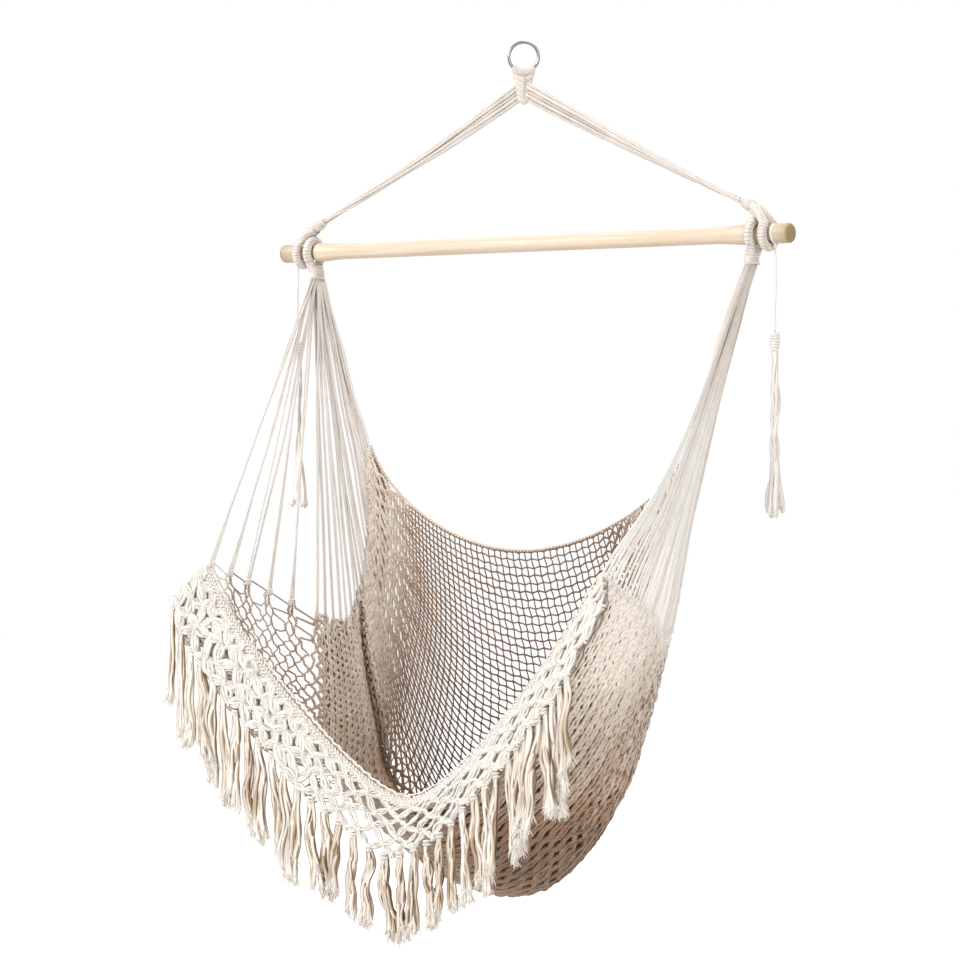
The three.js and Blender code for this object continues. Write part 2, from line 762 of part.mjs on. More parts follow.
function addFringePanel(number) {
  const inset = gap / frontCornerSpread * 2;
  const from = mix(-1, 1, (number - 1) / fringePanels) + inset;
  const to = mix(-1, 1, number / fringePanels) - inset;
  const path = new FringeStripPath(from, to);
  const steps = Math.round(borderColumns / fringePanels * 2);
  const solids = [toSolid(tubeAlong(path, fringeStripDiameter / 2, stripSides, steps))];
  for (let i = 0; i < tasselsPerPanel; i += 1) {
    const top = path.getPoint((i + 0.5) / tasselsPerPanel);
    const tassel = new THREE.CylinderGeometry(
      fringeTopDiameter / 2,
      fringeBottomDiameter / 2,
      fringeLength,
      tasselSides,
    );
    tassel.rotateX(Math.PI / 2);
    tassel.translate(top.x, top.y, top.z - fringeLength / 2);
    solids.push(toSolid(tassel));
  }
  const solid = solids.reduce((whole, part) => whole.add(part));
  addPiece(`fringe_${number}`, toGeometry(solid), cottonLight);
}

// Stop cord tied round the bar's neck outside the hanger's eye, with its knot under the bar

const stopKnotZ = barZ - neckDiameter / 2 - gap - stopCordDiameter - stopKnotDiameter / 3;

function addStopCord(side) {
  const loop = new THREE.TorusGeometry(
    neckDiameter / 2 + gap + stopCordDiameter / 2,
    stopCordDiameter / 2,
    stripSides,
    turnedSides,
  );
  loop.rotateY(Math.PI / 2);
  loop.translate(side * stopCordX, 0, barZ);
  const knot = new THREE.SphereGeometry(stopKnotDiameter / 2, cordSides, stripSides);
  knot.rotateX(Math.PI / 2);
  knot.translate(side * stopCordX, 0, stopKnotZ);
  addPiece(`stop_cord_${sideName(side)}`, toGeometry(joinSolids([loop, knot])), cottonLight);
}

// Loose tail under each stop knot: a thin cord with a long tassel of loose yarn on its end

function addTail(side) {
  const top = new THREE.Vector3(side * stopCordX, 0, stopKnotZ - stopKnotDiameter / 2 - gap);
  const bottom = top.clone();
  bottom.z -= tailCordLength;
  addPiece(`tail_cord_${sideName(side)}`, straightCord(top, bottom, tailCordDiameter), cottonLight);
  const tasselShares = [[0, 0], [0.45, 0], [1, 0.04], [0.8, 0.1], [1.1, 0.35], [1.35, 0.7], [2, 1], [0, 1]];
  const profile = tasselShares.map(([out, down]) => new THREE.Vector2(
    Math.min(out * tailTasselTopDiameter, tailTasselBottomDiameter) / 2,
    -down * tailTasselLength,
  ));
  const tassel = new THREE.LatheGeometry(profile.reverse(), bundleSides);
  tassel.rotateX(Math.PI / 2);
  tassel.translate(side * stopCordX, 0, bottom.z - gap);
  addPiece(`tail_tassel_${sideName(side)}`, tassel, cottonLight);
}

addHangingRing();
for (let number = 1; number <= hitchCount; number += 1) addRingHitch(number);
addMacrameKnot();
addSpreaderBar();
addSeatNet();
addBackEdgeCord();
addFrontBorder();
for (let number = 1; number <= fringePanels; number += 1) addFringePanel(number);
for (const side of [-1, 1]) {
  addHangerCords(side);
  addHangerEye(side);
  addSeatEye(side);
  addFanCords(side);
  addStopCord(side);
  addTail(side);
}

export default chair;
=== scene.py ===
# Hammock chair: a knotted cotton net on one turned bar, hung by one steel ring.
# Metres, +Z up, +X along the bar, the sitter faces -Y. The hang point is the origin.
import math

import bpy
import numpy as np
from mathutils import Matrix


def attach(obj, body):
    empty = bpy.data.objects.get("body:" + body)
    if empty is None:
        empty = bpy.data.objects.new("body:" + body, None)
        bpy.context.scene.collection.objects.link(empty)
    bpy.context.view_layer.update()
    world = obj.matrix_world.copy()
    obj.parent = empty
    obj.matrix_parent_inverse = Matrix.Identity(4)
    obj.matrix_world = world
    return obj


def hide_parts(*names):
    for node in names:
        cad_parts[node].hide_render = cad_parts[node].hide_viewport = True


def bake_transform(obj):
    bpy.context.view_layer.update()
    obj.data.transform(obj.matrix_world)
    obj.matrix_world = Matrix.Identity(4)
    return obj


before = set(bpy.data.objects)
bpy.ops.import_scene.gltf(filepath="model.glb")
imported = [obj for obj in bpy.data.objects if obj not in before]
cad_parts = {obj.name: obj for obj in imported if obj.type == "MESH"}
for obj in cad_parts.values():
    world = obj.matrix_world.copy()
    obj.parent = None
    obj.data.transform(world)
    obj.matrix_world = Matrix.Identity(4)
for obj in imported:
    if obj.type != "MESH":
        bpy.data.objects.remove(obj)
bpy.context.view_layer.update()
chance = np.random.default_rng(11)  # the one seeded source of every random number
print("frame loaded:", len(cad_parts), "nodes")


# Numbers and arrays

# a at share 0, b at share 1, and straight between
def mix(a, b, share):
    return a + (b - a) * share


def unit(v):
    return v / np.maximum(np.linalg.norm(v, axis=-1, keepdims=True), 1e-12)


# 0 below low, 1 above high, and 3s^2 - 2s^3 between
def ease(low, high, x):
    s = np.clip((x - low) / (high - low), 0, 1)
    return s * s * (3 - 2 * s)


# Angles evenly round a circle
def circle(count):
    return np.linspace(0, 2 * np.pi, count, endpoint=False)


# How far along a path each of its points lies
def farAlong(path):
    return np.concatenate([[0], np.cumsum(np.linalg.norm(np.diff(path, axis=0), axis=1))])


# Piecewise cubic through the values, each slope taken from its two neighbours
def valueAt(stations, values, place):
    stations, values = np.asarray(stations, float), np.asarray(values, float)
    place = np.asarray(place, float)
    index = np.arange(len(stations))
    before, after = np.maximum(index - 1, 0), np.minimum(index + 1, len(stations) - 1)
    width = (stations[after] - stations[before]).reshape((-1,) + (1,) * (values.ndim - 1))
    slope = (values[after] - values[before]) / width
    i = np.clip(np.searchsorted(stations, place, side="right") - 1, 0, len(stations) - 2)
    step = stations[i + 1] - stations[i]
    s = (place - stations[i]) / step
    if values.ndim > 1:
        step, s = step[..., None], s[..., None]
    rise = s * s * (3 - 2 * s)
    lean = (1 - s) * slope[i] - s * slope[i + 1]
    return values[i] * (1 - rise) + values[i + 1] * rise + step * s * (1 - s) * lean


# A smooth path through a few points, stepped evenly by chord length
def pathThrough(points, steps):
    points = np.asarray(points, float)
    reach = farAlong(points)
    return valueAt(reach / reach[-1], points, np.linspace(0, 1, steps))


# Slow sideways wander of many strands: three sines of random phase each, 0 at both ends
def wander(count, steps, waves=3.0):
    s = np.linspace(0, 1, steps)[None, :, None]
    phase = chance.uniform(0, 2 * np.pi, (count, 1, 3, 3))
    speed = waves * chance.uniform(0.5, 1.5, (count, 1, 3, 3))
    share = np.array([0.6, 0.3, 0.15])
    return (np.sin(2 * np.pi * speed * s[..., None] + phase) * share).sum(-1) * np.sin(np.pi * s) ** 0.5


def sideName(side):
    return "left" if side < 0 else "right"


# Meshes

# A tube: centre + radius (cos a side + flat sin a lift), for all paths, steps and angles at once. Painted shade:
# its side away from up, or facing up where shade is negative, is darker by shade ((1 - sin a) / 2)^2, and both
# flanks, where neighbouring strands meet, by creviceShade cos(a)^4
def tubes(paths, radius, sides=6, up=(0, 0, 1), flat=1.0, tone=0.0, closed=False, turn=0.0, shade=0.0, creviceShade=0.0):
    paths = np.asarray(paths, float)
    paths = paths[None] if paths.ndim == 2 else paths
    count, steps = paths.shape[:2]
    radius, tone, turn, shade, creviceShade = (np.broadcast_to(np.asarray(value, float), (count, steps))[..., None]
                                          for value in (radius, tone, turn, shade, creviceShade))
    tangent = np.roll(paths, -1, 1) - np.roll(paths, 1, 1) if closed else np.gradient(paths, axis=1)
    tangent = unit(tangent)
    side = unit(np.cross(tangent, np.broadcast_to(np.asarray(up, float), paths.shape)))
    lift = np.cross(side, tangent)
    angle = np.arange(sides) / sides * 2 * np.pi + turn
    around = np.cos(angle)[..., None] * side[:, :, None] + flat * np.sin(angle)[..., None] * lift[:, :, None]
    points = paths[:, :, None] + radius[..., None] * around
    grid = np.arange(count * steps * sides).reshape(count, steps, sides)
    low = grid if closed else grid[:, :-1]
    high = np.roll(grid, -1, 1) if closed else grid[:, 1:]
    quads = np.stack([low, high, np.roll(high, -1, 2), np.roll(low, -1, 2)], -1)
    # The piece's own UV map: u goes round the tube, and v is the length along it in metres
    gone = np.linalg.norm(np.roll(paths, -1, 1) - paths, axis=2)
    far = np.concatenate([np.zeros((count, 1)), np.cumsum(gone, 1)], 1)
    runs = low.shape[1]
    nearV, farV = (np.broadcast_to(v[..., None], low.shape) for v in (far[:, :runs], far[:, 1:runs + 1]))
    leftU = np.broadcast_to(np.arange(sides) / sides, low.shape)
    rightU = leftU + 1 / sides
    uv = np.stack([np.stack([leftU, nearV], -1), np.stack([leftU, farV], -1),
                   np.stack([rightU, farV], -1), np.stack([rightU, nearV], -1)], -2)
    faces = [(quads.reshape(-1, 4), uv.reshape(-1, 4, 2))]
    if not closed:
        for ring, v in ((grid[:, 0], far[:, 0]), (grid[:, -1, ::-1], far[:, steps - 1])):
            capUv = np.zeros((count, sides, 2))
            capUv[..., 1] = v[:, None]
            faces.append((ring, capUv))
    # Painted shade on the side away from up and on both flanks
    tone = tone + np.abs(shade) * ((1 - np.sign(shade) * np.sin(angle)) / 2) ** 2 + creviceShade * np.cos(angle) ** 4
    return {"points": points.reshape(-1, 3), "faces": faces, "tone": tone.reshape(-1)}


# A turned form: radius against distance along an axis, closed at both ends
def turned(along, radius, sides, origin, axis, aside, flat=1.0, tone=0.0):
    axis, aside = unit(np.asarray(axis, float)), unit(np.asarray(aside, float))
    path = np.asarray(origin, float) + np.asarray(along, float)[:, None] * axis
    return tubes(path, radius, sides, up=aside, flat=flat, tone=tone)


# Small closed loops: centre + wide cos(a) first + deep sin(a) second, one round each centre
def loopsRound(centres, first, second, wide, deep, count):
    a = circle(count)[None, :, None]
    return centres[:, None] + (wide * np.cos(a) * first[:, None] + deep * np.sin(a) * second[:, None])


def linkObject(name, data):
    thing = bpy.data.objects.new(name, data)
    bpy.context.scene.collection.objects.link(thing)
    return thing


# Joins bundles of points and faces into one mesh object
def makePiece(name, bundles, material):
    starts = np.cumsum([0] + [len(b["points"]) for b in bundles])
    points = np.concatenate([b["points"] for b in bundles])
    tone = np.concatenate([b["tone"] for b in bundles])
    groups = [(f + start, uv) for b, start in zip(bundles, starts) for f, uv in b["faces"]]
    sizes = np.concatenate([np.full(len(f), f.shape[1]) for f, _ in groups])
    loops = np.concatenate([f.reshape(-1) for f, _ in groups])
    uvs = np.concatenate([uv.reshape(-1, 2) for _, uv in groups])
    mesh = bpy.data.meshes.new(name)
    mesh.vertices.add(len(points))
    mesh.vertices.foreach_set("co", points.astype(np.float32).reshape(-1))
    mesh.loops.add(len(loops))
    mesh.loops.foreach_set("vertex_index", loops.astype(np.int32))
    mesh.polygons.add(len(sizes))
    mesh.polygons.foreach_set("loop_start", np.concatenate([[0], np.cumsum(sizes)[:-1]]).astype(np.int32))
    mesh.update(calc_edges=True)
    mesh.uv_layers.new(name="UVMap").data.foreach_set("uv", uvs.astype(np.float32).reshape(-1))
    mesh.attributes.new("tone", "FLOAT", "POINT").data.foreach_set("value", tone.astype(np.float32))
    mesh.polygons.foreach_set("use_smooth", np.ones(len(sizes), bool))
    mesh.validate()
    mesh.materials.append(material)
    print(f"{name}: {int((sizes - 2).sum())} triangles")
    return linkObject(name, mesh)


# Finishes

def linear(colour):
    c = np.asarray(colour, float)
    return tuple(np.where(c <= 0.04045, c / 12.92, ((c + 0.055) / 1.055) ** 2.4)) + (1.0,)


def newMaterial(name):
    material = bpy.data.materials.new(name)
    material.use_nodes = True
    return material


# Adds nodes to the tree of one material or of the world
class Nodes:
    def __init__(self, tree):
        self.tree = tree
        self.shader = tree.nodes.get("Principled BSDF")

    # A socket takes either another node's output or a fixed value
    def give(self, socket, value):
        if isinstance(value, bpy.types.NodeSocket):
            self.tree.links.new(value, socket)
        else:
            socket.default_value = value

    def put(self, kind, inputs=None, **settings):
        node = self.tree.nodes.new("ShaderNode" + kind)
        for key, value in settings.items():
            setattr(node, key, value)
        for key, value in (inputs or {}).items():
            self.give(node.inputs[key], value)
        return node

    def math(self, operation, a, b=0.0, c=0.0):
        return self.put("Math", {0: a, 1: b, 2: c}, operation=operation).outputs[0]

    def clamp(self, value):
        return self.math("MINIMUM", self.math("MAXIMUM", value, 0.0), 1.0)

    # share (value - 1/2), so that a noise lightens as much as it darkens
    def centred(self, value, share):
        return self.math("MULTIPLY", self.math("SUBTRACT", value, 0.5), share)

    def noise(self, place, scale, detail, roughness=0.5):
        inputs = {"Vector": place, "Scale": scale, "Detail": detail, "Roughness": roughness}
        return self.put("TexNoise", inputs).outputs[0]

    def scaled(self, place, scale, turn=(0.0, 0.0, 0.0)):
        return self.put("Mapping", {"Vector": place, "Scale": scale, "Rotation": turn}).outputs[0]

    def tone(self):
        return self.put("Attribute", attribute_name="tone").outputs["Fac"]

    def blendColours(self, share, a, b):
        return self.put("Mix", {0: share, 6: a, 7: b}, data_type="RGBA", blend_type="MIX").outputs[2]

    def toShader(self, value, name):
        self.give(self.shader.inputs[name], value)

    def bump(self, height, strength, distance):
        inputs = {"Height": height, "Strength": strength, "Distance": distance}
        self.toShader(self.put("Bump", inputs).outputs[0], "Normal")


cottonValues = {"cloudScale": 38.0, "fibreScale": 1300.0, "fibreTone": 0.22, "unevenTwist": 0.8, "ridgeHeight": 0.7,
                "fibreHeight": 0.45, "bumpStrength": 0.8, "leastRoughness": 0.78, "fibreRoughness": 0.2,
                "sheenRoughness": 0.5}


# Twisted cotton: ridges |sin(pi (plies around + along / pitch))|, fine fibre noise, and cloudy colour that goes
# from pale through deep at tone 1 to dark at tone 2. The grooves between the ridges take creaseShade, a painted shade
def cottonFinish(name, pale, deep, creaseShade, pitch=0.008, plies=3, bump=0.0006, cloud=0.22, creaseShare=0.35,
                 dark=None, sheen=0.25):
    v = cottonValues
    material = newMaterial(name)
    n = Nodes(material.node_tree)
    uv = n.put("SeparateXYZ", {0: n.put("UVMap", uv_map="UVMap").outputs[0]})
    place = n.put("TexCoord").outputs["Object"]
    slow = n.noise(place, v["cloudScale"], 4.0)
    fibre = n.noise(place, v["fibreScale"], 3.0, 0.7)
    turn = n.math("MULTIPLY_ADD", uv.outputs[0], float(plies), n.math("MULTIPLY", uv.outputs[1], 1 / pitch))
    turn = n.math("ADD", turn, n.math("MULTIPLY", slow, v["unevenTwist"]))
    ridge = n.math("ABSOLUTE", n.math("SINE", n.math("MULTIPLY", turn, math.pi)))
    tone = n.math("ADD", n.tone(), n.centred(slow, cloud * 2))
    tone = n.math("ADD", tone, n.centred(fibre, v["fibreTone"]))
    colour = n.blendColours(n.clamp(tone), linear(pale), linear(deep))
    if dark:
        colour = n.blendColours(n.clamp(n.math("SUBTRACT", tone, 1.0)), colour, linear(dark))
    # Painted shade in the grooves between the plies, by creaseShare
    groove = n.math("MULTIPLY", n.math("POWER", n.math("SUBTRACT", 1.0, ridge), 2.0), creaseShare)
    n.toShader(n.blendColours(groove, colour, linear(creaseShade)), "Base Color")
    height = n.math("ADD", n.math("MULTIPLY", ridge, v["ridgeHeight"]), n.math("MULTIPLY", fibre, v["fibreHeight"]))
    n.bump(height, v["bumpStrength"], bump)
    n.toShader(n.math("MULTIPLY_ADD", fibre, v["fibreRoughness"], v["leastRoughness"]), "Roughness")
    n.toShader(sheen, "Sheen Weight")
    n.toShader(v["sheenRoughness"], "Sheen Roughness")
    n.toShader(min(0.5, 2 * sheen), "Specular IOR Level")
    return material


pineValues = {"grain": (2.2, 70.0, 70.0), "bands": (0.5, 26.0, 26.0), "bandTurn": (0.3, 0.05, 0.04),
              "flecks": (40.0, 500.0, 500.0), "fleckFrom": 0.66, "fleckShare": 0.25, "grainShare": 1.5,
              "bandShare": 0.22, "cloudShare": 0.5, "bump": 0.0006, "leastRoughness": 0.36, "grainRoughness": 0.25}


# Pale pine: long grain streaks along X, faint growth bands, and small darker flecks
def pineFinish(name, pale, deep, shadeColour, dot):
    v = pineValues
    material = newMaterial(name)
    n = Nodes(material.node_tree)
    place = n.put("TexCoord").outputs["Object"]
    grain = n.noise(n.scaled(place, v["grain"]), 4.0, 6.0, 0.62)
    bands = n.put("TexWave", {"Vector": n.scaled(place, v["bands"], v["bandTurn"]), "Scale": 1.4, "Distortion": 5.0,
                              "Detail": 3.0}, wave_type="BANDS", bands_direction="Y").outputs["Fac"]
    flecks = n.noise(n.scaled(place, v["flecks"]), 1.0, 2.0)
    slow = n.noise(place, 9.0, 3.0)
    banded = n.math("MULTIPLY", bands, v["bandShare"])
    share = n.math("MULTIPLY_ADD", n.math("SUBTRACT", grain, 0.42), v["grainShare"], banded)
    share = n.clamp(n.math("ADD", share, n.centred(slow, v["cloudShare"])))
    # Painted shade: the tone attribute darkens the wood towards shadeColour
    colour = n.blendColours(n.tone(), n.blendColours(share, linear(pale), linear(deep)), linear(shadeColour))
    fleck = n.math("MULTIPLY", n.math("GREATER_THAN", flecks, v["fleckFrom"]), v["fleckShare"])
    n.toShader(n.blendColours(fleck, colour, linear(dot)), "Base Color")
    n.bump(n.math("ADD", grain, n.math("MULTIPLY", flecks, 0.4)), 0.25, v["bump"])
    n.toShader(n.math("MULTIPLY_ADD", grain, v["grainRoughness"], v["leastRoughness"]), "Roughness")
    return material


steelValues = {"lines": (60.0, 40.0, 1.0), "lineBump": 0.0002, "spots": 160.0, "spotShare": 0.5,
               "leastRoughness": 0.1, "spotRoughness": 0.22}


# Nickelled wire: bright metal with faint drawing lines and a few dull spots
def steelFinish(name, bright, dull):
    v = steelValues
    material = newMaterial(name)
    n = Nodes(material.node_tree)
    n.toShader(1.0, "Metallic")
    lines = n.noise(n.scaled(n.put("UVMap", uv_map="UVMap").outputs[0], v["lines"]), 1.0, 3.0)
    spots = n.noise(n.put("TexCoord").outputs["Object"], v["spots"], 4.0)
    n.toShader(n.blendColours(n.math("MULTIPLY", spots, v["spotShare"]), linear(bright), linear(dull)), "Base Color")
    n.toShader(n.math("MULTIPLY_ADD", spots, v["spotRoughness"], v["leastRoughness"]), "Roughness")
    n.bump(lines, 0.1, v["lineBump"])
    return material


cordCotton = cottonFinish("cord cotton", (0.955, 0.94, 0.92), (0.72, 0.64, 0.57), (0.64, 0.56, 0.49),
                          pitch=0.05, plies=4, bump=0.0005, cloud=0.2, creaseShare=0.28)
ropeCotton = cottonFinish("rope cotton", (0.895, 0.86, 0.825), (0.50, 0.42, 0.36), (0.46, 0.39, 0.33),
                          pitch=0.05, plies=4, bump=0.0005, cloud=0.2, creaseShare=0.30)
netCotton = cottonFinish("net cotton", (0.985, 0.945, 0.895), (0.61, 0.48, 0.365), (0.40, 0.28, 0.19),
                         pitch=0.010, plies=2, creaseShare=0.25, dark=(0.37, 0.285, 0.225))
# The dark core of the net, a painted shade
shadeCotton = cottonFinish("inner net cotton", (0.60, 0.47, 0.36), (0.13, 0.085, 0.06), (0.12, 0.08, 0.06),
                           pitch=0.008, plies=2, sheen=0.0)
borderCotton = cottonFinish("border cotton", (0.955, 0.945, 0.915), (0.50, 0.38, 0.26), (0.50, 0.39, 0.29),
                            pitch=0.026, plies=3, bump=0.0009, cloud=0.10, creaseShare=0.45)
fringeCotton = cottonFinish("fringe cotton", (0.975, 0.955, 0.92), (0.68, 0.565, 0.43), (0.50, 0.39, 0.27),
                            pitch=0.20, plies=3, bump=0.0014, cloud=0.20, creaseShare=0.60, dark=(0.30, 0.22, 0.14))
hairCotton = cottonFinish("frayed cotton", (0.97, 0.945, 0.905), (0.82, 0.74, 0.64), (0.80, 0.72, 0.62),
                          bump=0.0001, cloud=0.1, creaseShare=0.1)
barPine = pineFinish("bar pine", pale=(0.87, 0.80, 0.715), deep=(0.76, 0.655, 0.545), shadeColour=(0.58, 0.50, 0.34),
                     dot=(0.72, 0.58, 0.42))
ringSteel = steelFinish("ring steel", bright=(0.60, 0.60, 0.59), dull=(0.36, 0.36, 0.35))

# Camera

cameraValues = {"place": (2.868, -4.096, -0.622), "turn": 35.0, "lens": 115.9, "sensor": 36.0,
                "shiftX": -0.0455, "shiftY": -0.054}


def makeCamera():
    v = cameraValues
    data = bpy.data.cameras.new("camera")
    data.lens, data.sensor_width, data.sensor_fit = v["lens"], v["sensor"], "HORIZONTAL"
    data.shift_x, data.shift_y = v["shiftX"], v["shiftY"]
    camera = linkObject("camera", data)
    camera.location = v["place"]
    camera.rotation_euler = (math.pi / 2, 0, math.radians(v["turn"]))
    bpy.context.scene.camera = camera


makeCamera()

# Loose tails

tailValues = {"x": 0.4695, "top": -0.34593, "length": 0.128, "cord": 0.003, "bow": 0.0014, "ripple": 0.0004,
              "sway": 0.0009, "tasselTop": -0.4742, "tasselLength": 0.29, "strands": 9, "strand": 0.0028,
              "spread": 0.0135, "knotTurns": 6, "knotRadius": 0.0042, "knotSwell": 0.0018, "knotLength": 0.0265,
              "knotCord": 0.0024, "stray": 0.004, "curl": 0.0035, "curlCord": 0.0026}
down = np.array([0.0, 0.0, -1.0])


# Cord: straight down, with sideways sine waves about a millimetre wide. Tassel: strands that fall by length s,
# out from the middle by reach (cos a, sin a)
def makeTail(side):
    v = tailValues
    label = sideName(side)
    s = np.linspace(0, 1, 33)
    path = np.array([side * v["x"], 0, v["top"]]) + s[:, None] * v["length"] * down
    path[:, 0] += side * v["bow"] * np.sin(np.pi * s) + v["ripple"] * np.sin(5 * np.pi * s)
    path[:, 1] += v["sway"] * np.sin(2 * np.pi * s)
    cord = makePiece(f"tail_{label}", [tubes(path, v["cord"] / 2, 8, up=(0, 1, 0), tone=0.15)], cordCotton)
    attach(cord, f"{label}_tail")
    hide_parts(f"tail_cord_{label}")

    # Wrapped knot: turns of cord round a small core, a little askew
    top = np.array([side * v["x"], 0, v["tasselTop"]])
    turn = np.linspace(0, v["knotTurns"], 120)
    a = 2 * np.pi * turn
    swell = v["knotRadius"] + v["knotSwell"] * np.sin(np.pi * turn / v["knotTurns"])
    fall = -0.002 - v["knotLength"] * turn / v["knotTurns"] + 0.0016 * np.cos(a)
    coil = top + np.stack([swell * np.cos(a), swell * np.sin(a), fall], -1)
    # Painted shade: the core under the coil is darker
    core = turned([0, 0.004, 0.012, 0.022, 0.029], [0.001, 0.0046, 0.0062, 0.0052, 0.003], 12, top, down, (0, 1, 0),
                  tone=0.3)
    knot = makePiece(f"tassel_knot_{label}", [tubes(coil, v["knotCord"], 7, tone=0.12), core], cordCotton)
    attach(knot, f"{label}_tail")

    # Long strands: they part below the knot, wave, and bunch again near their ends
    count = v["strands"]
    s = np.linspace(0, 1, 56)
    angle = np.arange(count) * 2.4 + chance.uniform(-0.3, 0.3, count)
    out = np.sqrt((np.arange(count) + 0.5) / count)
    reach = valueAt([0, 0.10, 0.30, 0.62, 0.86, 1], [0.20, 0.34, 0.22, 0.32, 0.92, 1.18], s) * v["spread"]
    length = (v["tasselLength"] - 0.026) * chance.uniform(0.93, 1.0, count)
    paths = np.zeros((count, len(s), 3))
    paths[..., 0] = np.cos(angle + side)[:, None] * out[:, None] * reach
    paths[..., 1] = np.sin(angle + side)[:, None] * out[:, None] * reach * 0.7
    paths += wander(count, len(s), 2.2) * v["stray"]
    paths[..., 2] = -0.024 - length[:, None] * s
    paths += top
    width = v["strand"] * (1 + 0.75 * ease(0.66, 1, s)) * (1 - 0.55 * ease(0.97, 1, s))
    # Painted shade: strands near the middle of the tassel are darker, and so are each strand's flanks; the rest differs
    # at random
    shade = 0.02 + 0.22 * (1 - out)[:, None] + 0.08 * chance.uniform(-1, 1, (count, 1))
    strands = tubes(paths, width, 8, up=(0, 1, 0), flat=0.8, tone=shade, turn=2.5 * s + angle[:, None], creviceShade=0.5)
    # Looped ends: short curls turned up at the bottom
    s = np.linspace(0, 1, 14)
    bow = v["curl"] * np.sin(np.pi * s)
    rise = 0.003 + 0.016 * s - 0.004 * np.sin(np.pi * s)
    curls = np.stack([bow * np.cos(angle)[:, None], bow * np.sin(angle)[:, None], np.tile(rise, (count, 1))], -1)
    ends = tubes(paths[:, -1:] + curls, v["curlCord"], 6, up=(0.3, 1, 0), tone=0.15)
    tassel = makePiece(f"tassel_{label}", [strands, ends], cordCotton)
    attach(tassel, f"{label}_tail")
    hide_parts(f"tail_tassel_{label}")


for side in (-1, 1):
    makeTail(side)
print("tails made")

# Ring and macramé knot

ringValues = {"radius": 0.024, "wire": 0.0025, "centre": -0.0215, "yaw": 33.0}
knotValues = {"hitches": 5, "hitchArc": 18.0, "pairArc": 9.2, "cord": 0.00225, "top": -0.052, "bottom": -0.0945,
              "wide": 0.0135, "narrow": 0.0086, "depth": 0.0052, "rows": 5, "rowCord": 0.0026, "dip": 0.0060,
              "core": 0.042}
yaw = math.radians(ringValues["yaw"])
ringAlong = np.array([math.cos(yaw), math.sin(yaw), 0.0])
ringAcross = np.array([-math.sin(yaw), math.cos(yaw), 0.0])


# Wire carried round centre + radius (sin a along, cos a up)
def makeRing():
    v = ringValues
    a = circle(96)
    path = v["radius"] * np.sin(a)[:, None] * ringAlong
    path[:, 2] = v["centre"] + v["radius"] * np.cos(a)
    ring = makePiece("ring", [tubes(path, v["wire"], 20, up=ringAcross, closed=True)], ringSteel)
    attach(ring, "ring")
    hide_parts("hanging_ring")


# Cords looped over the wire, then a flat braid: across = wide cos(a), deep = depth sin(a)^0.6, and down by
# dip (1 - |cos a|^1.4)
def makeRingKnot():
    v, r = knotValues, ringValues
    order = np.arange(v["hitches"] * 2)
    angle = np.radians((order // 2 - (v["hitches"] - 1) / 2) * v["hitchArc"] + (order % 2 - 0.5) * v["pairArc"])
    hold = r["wire"] + v["cord"] + 0.0002
    s = np.linspace(-1, 1, 29)
    a = (s + 0.5) * np.pi
    legs = ease(0.62, 1, np.abs(s))
    rise = hold * np.sin(a) * (1 - legs)
    wireX = (r["radius"] * np.sin(angle))[:, None]
    wireZ = (r["centre"] - r["radius"] * np.cos(angle))[:, None]
    across = mix(wireX - np.sin(angle)[:, None] * rise, wireX * 0.86, legs)
    deep = hold * np.cos(a) * (1 - legs) + np.sign(s) * legs * 0.0022
    loops = across[..., None] * ringAlong + deep[:, None] * ringAcross
    loops[..., 2] = wireZ + np.cos(angle)[:, None] * rise + legs * (v["top"] - 0.004 - wireZ)
    bundles = [tubes(loops, v["cord"], 8, up=ringAlong, tone=0.05)]
    # Rows of paired chevrons: each goes round the flat knot, high at its two edges and low in the middle
    a = circle(48)
    edge = np.sign(np.sin(a)) * np.abs(np.sin(a)) ** 0.6
    for row in range(v["rows"]):
        for pair in (0, 1):
            share = (row + 0.45 * pair) / v["rows"]
            wide = mix(v["wide"], v["narrow"], share ** 0.8) * (1.0 - 0.06 * pair)
            chevron = (wide * np.cos(a))[:, None] * ringAlong + (v["depth"] * edge)[:, None] * ringAcross
            chevron[:, 2] = mix(v["top"], v["bottom"], share) - v["dip"] * (1 - np.abs(np.cos(a)) ** 1.4)
            bundles.append(tubes(chevron, v["rowCord"], 8, closed=True, tone=0.04 + 0.12 * pair))
    # Painted shade: the core under the rows is darker
    bundles.append(turned(np.linspace(0, v["core"], 9), np.linspace(0.011, 0.0070, 9), 16, (0, 0, v["top"] - 0.002),
                          down, ringAlong, flat=0.4, tone=0.25))
    knot = makePiece("ring_knot", bundles, ropeCotton)
    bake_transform(knot)
    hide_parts(*[f"ring_hitch_{i}" for i in range(1, 5)], "macrame_knot")


makeRing()
makeRingKnot()

# Hanger cords, eyes, bar

barValues = {"drop": 0.324, "halfLength": 0.5, "radius": 0.013, "shoulder": 0.016, "shoulderLength": 0.062,
             "shoulderRound": 0.0014, "neckInner": 0.4253, "neckOuter": 0.47155, "neck": 0.012, "knob": 0.0155,
             "knobRound": 0.006, "knobCorner": 0.0016}
barZ = -barValues["drop"]
hangerValues = {"knot": (0.424, 0.0, -0.278), "knotLength": 0.027, "knotTurns": 6, "knotWide": 0.0078,
                "knotDeep": 0.0072, "knotCord": 0.0024, "cord": 0.0031, "apart": 0.0016, "sag": 0.004,
                "rises": (-0.062, -0.0685, -0.075, -0.0815, -0.0885), "stray": 0.0012}
eyeValues = {"rope": 0.0073, "round": 0.0201, "hangerX": 0.458, "seatX": 0.434, "rib": 0.0042, "throatTurns": 5,
             "throat": (0.428, 0.0, -0.370), "throatWide": 0.0140, "throatDeep": 0.0088, "throatLength": 0.022,
             "throatCord": 0.0026, "stitch": 0.0019}
hangFrom = np.array([0, 0, -0.08])  # the middle of the cords where they leave the ring's knot


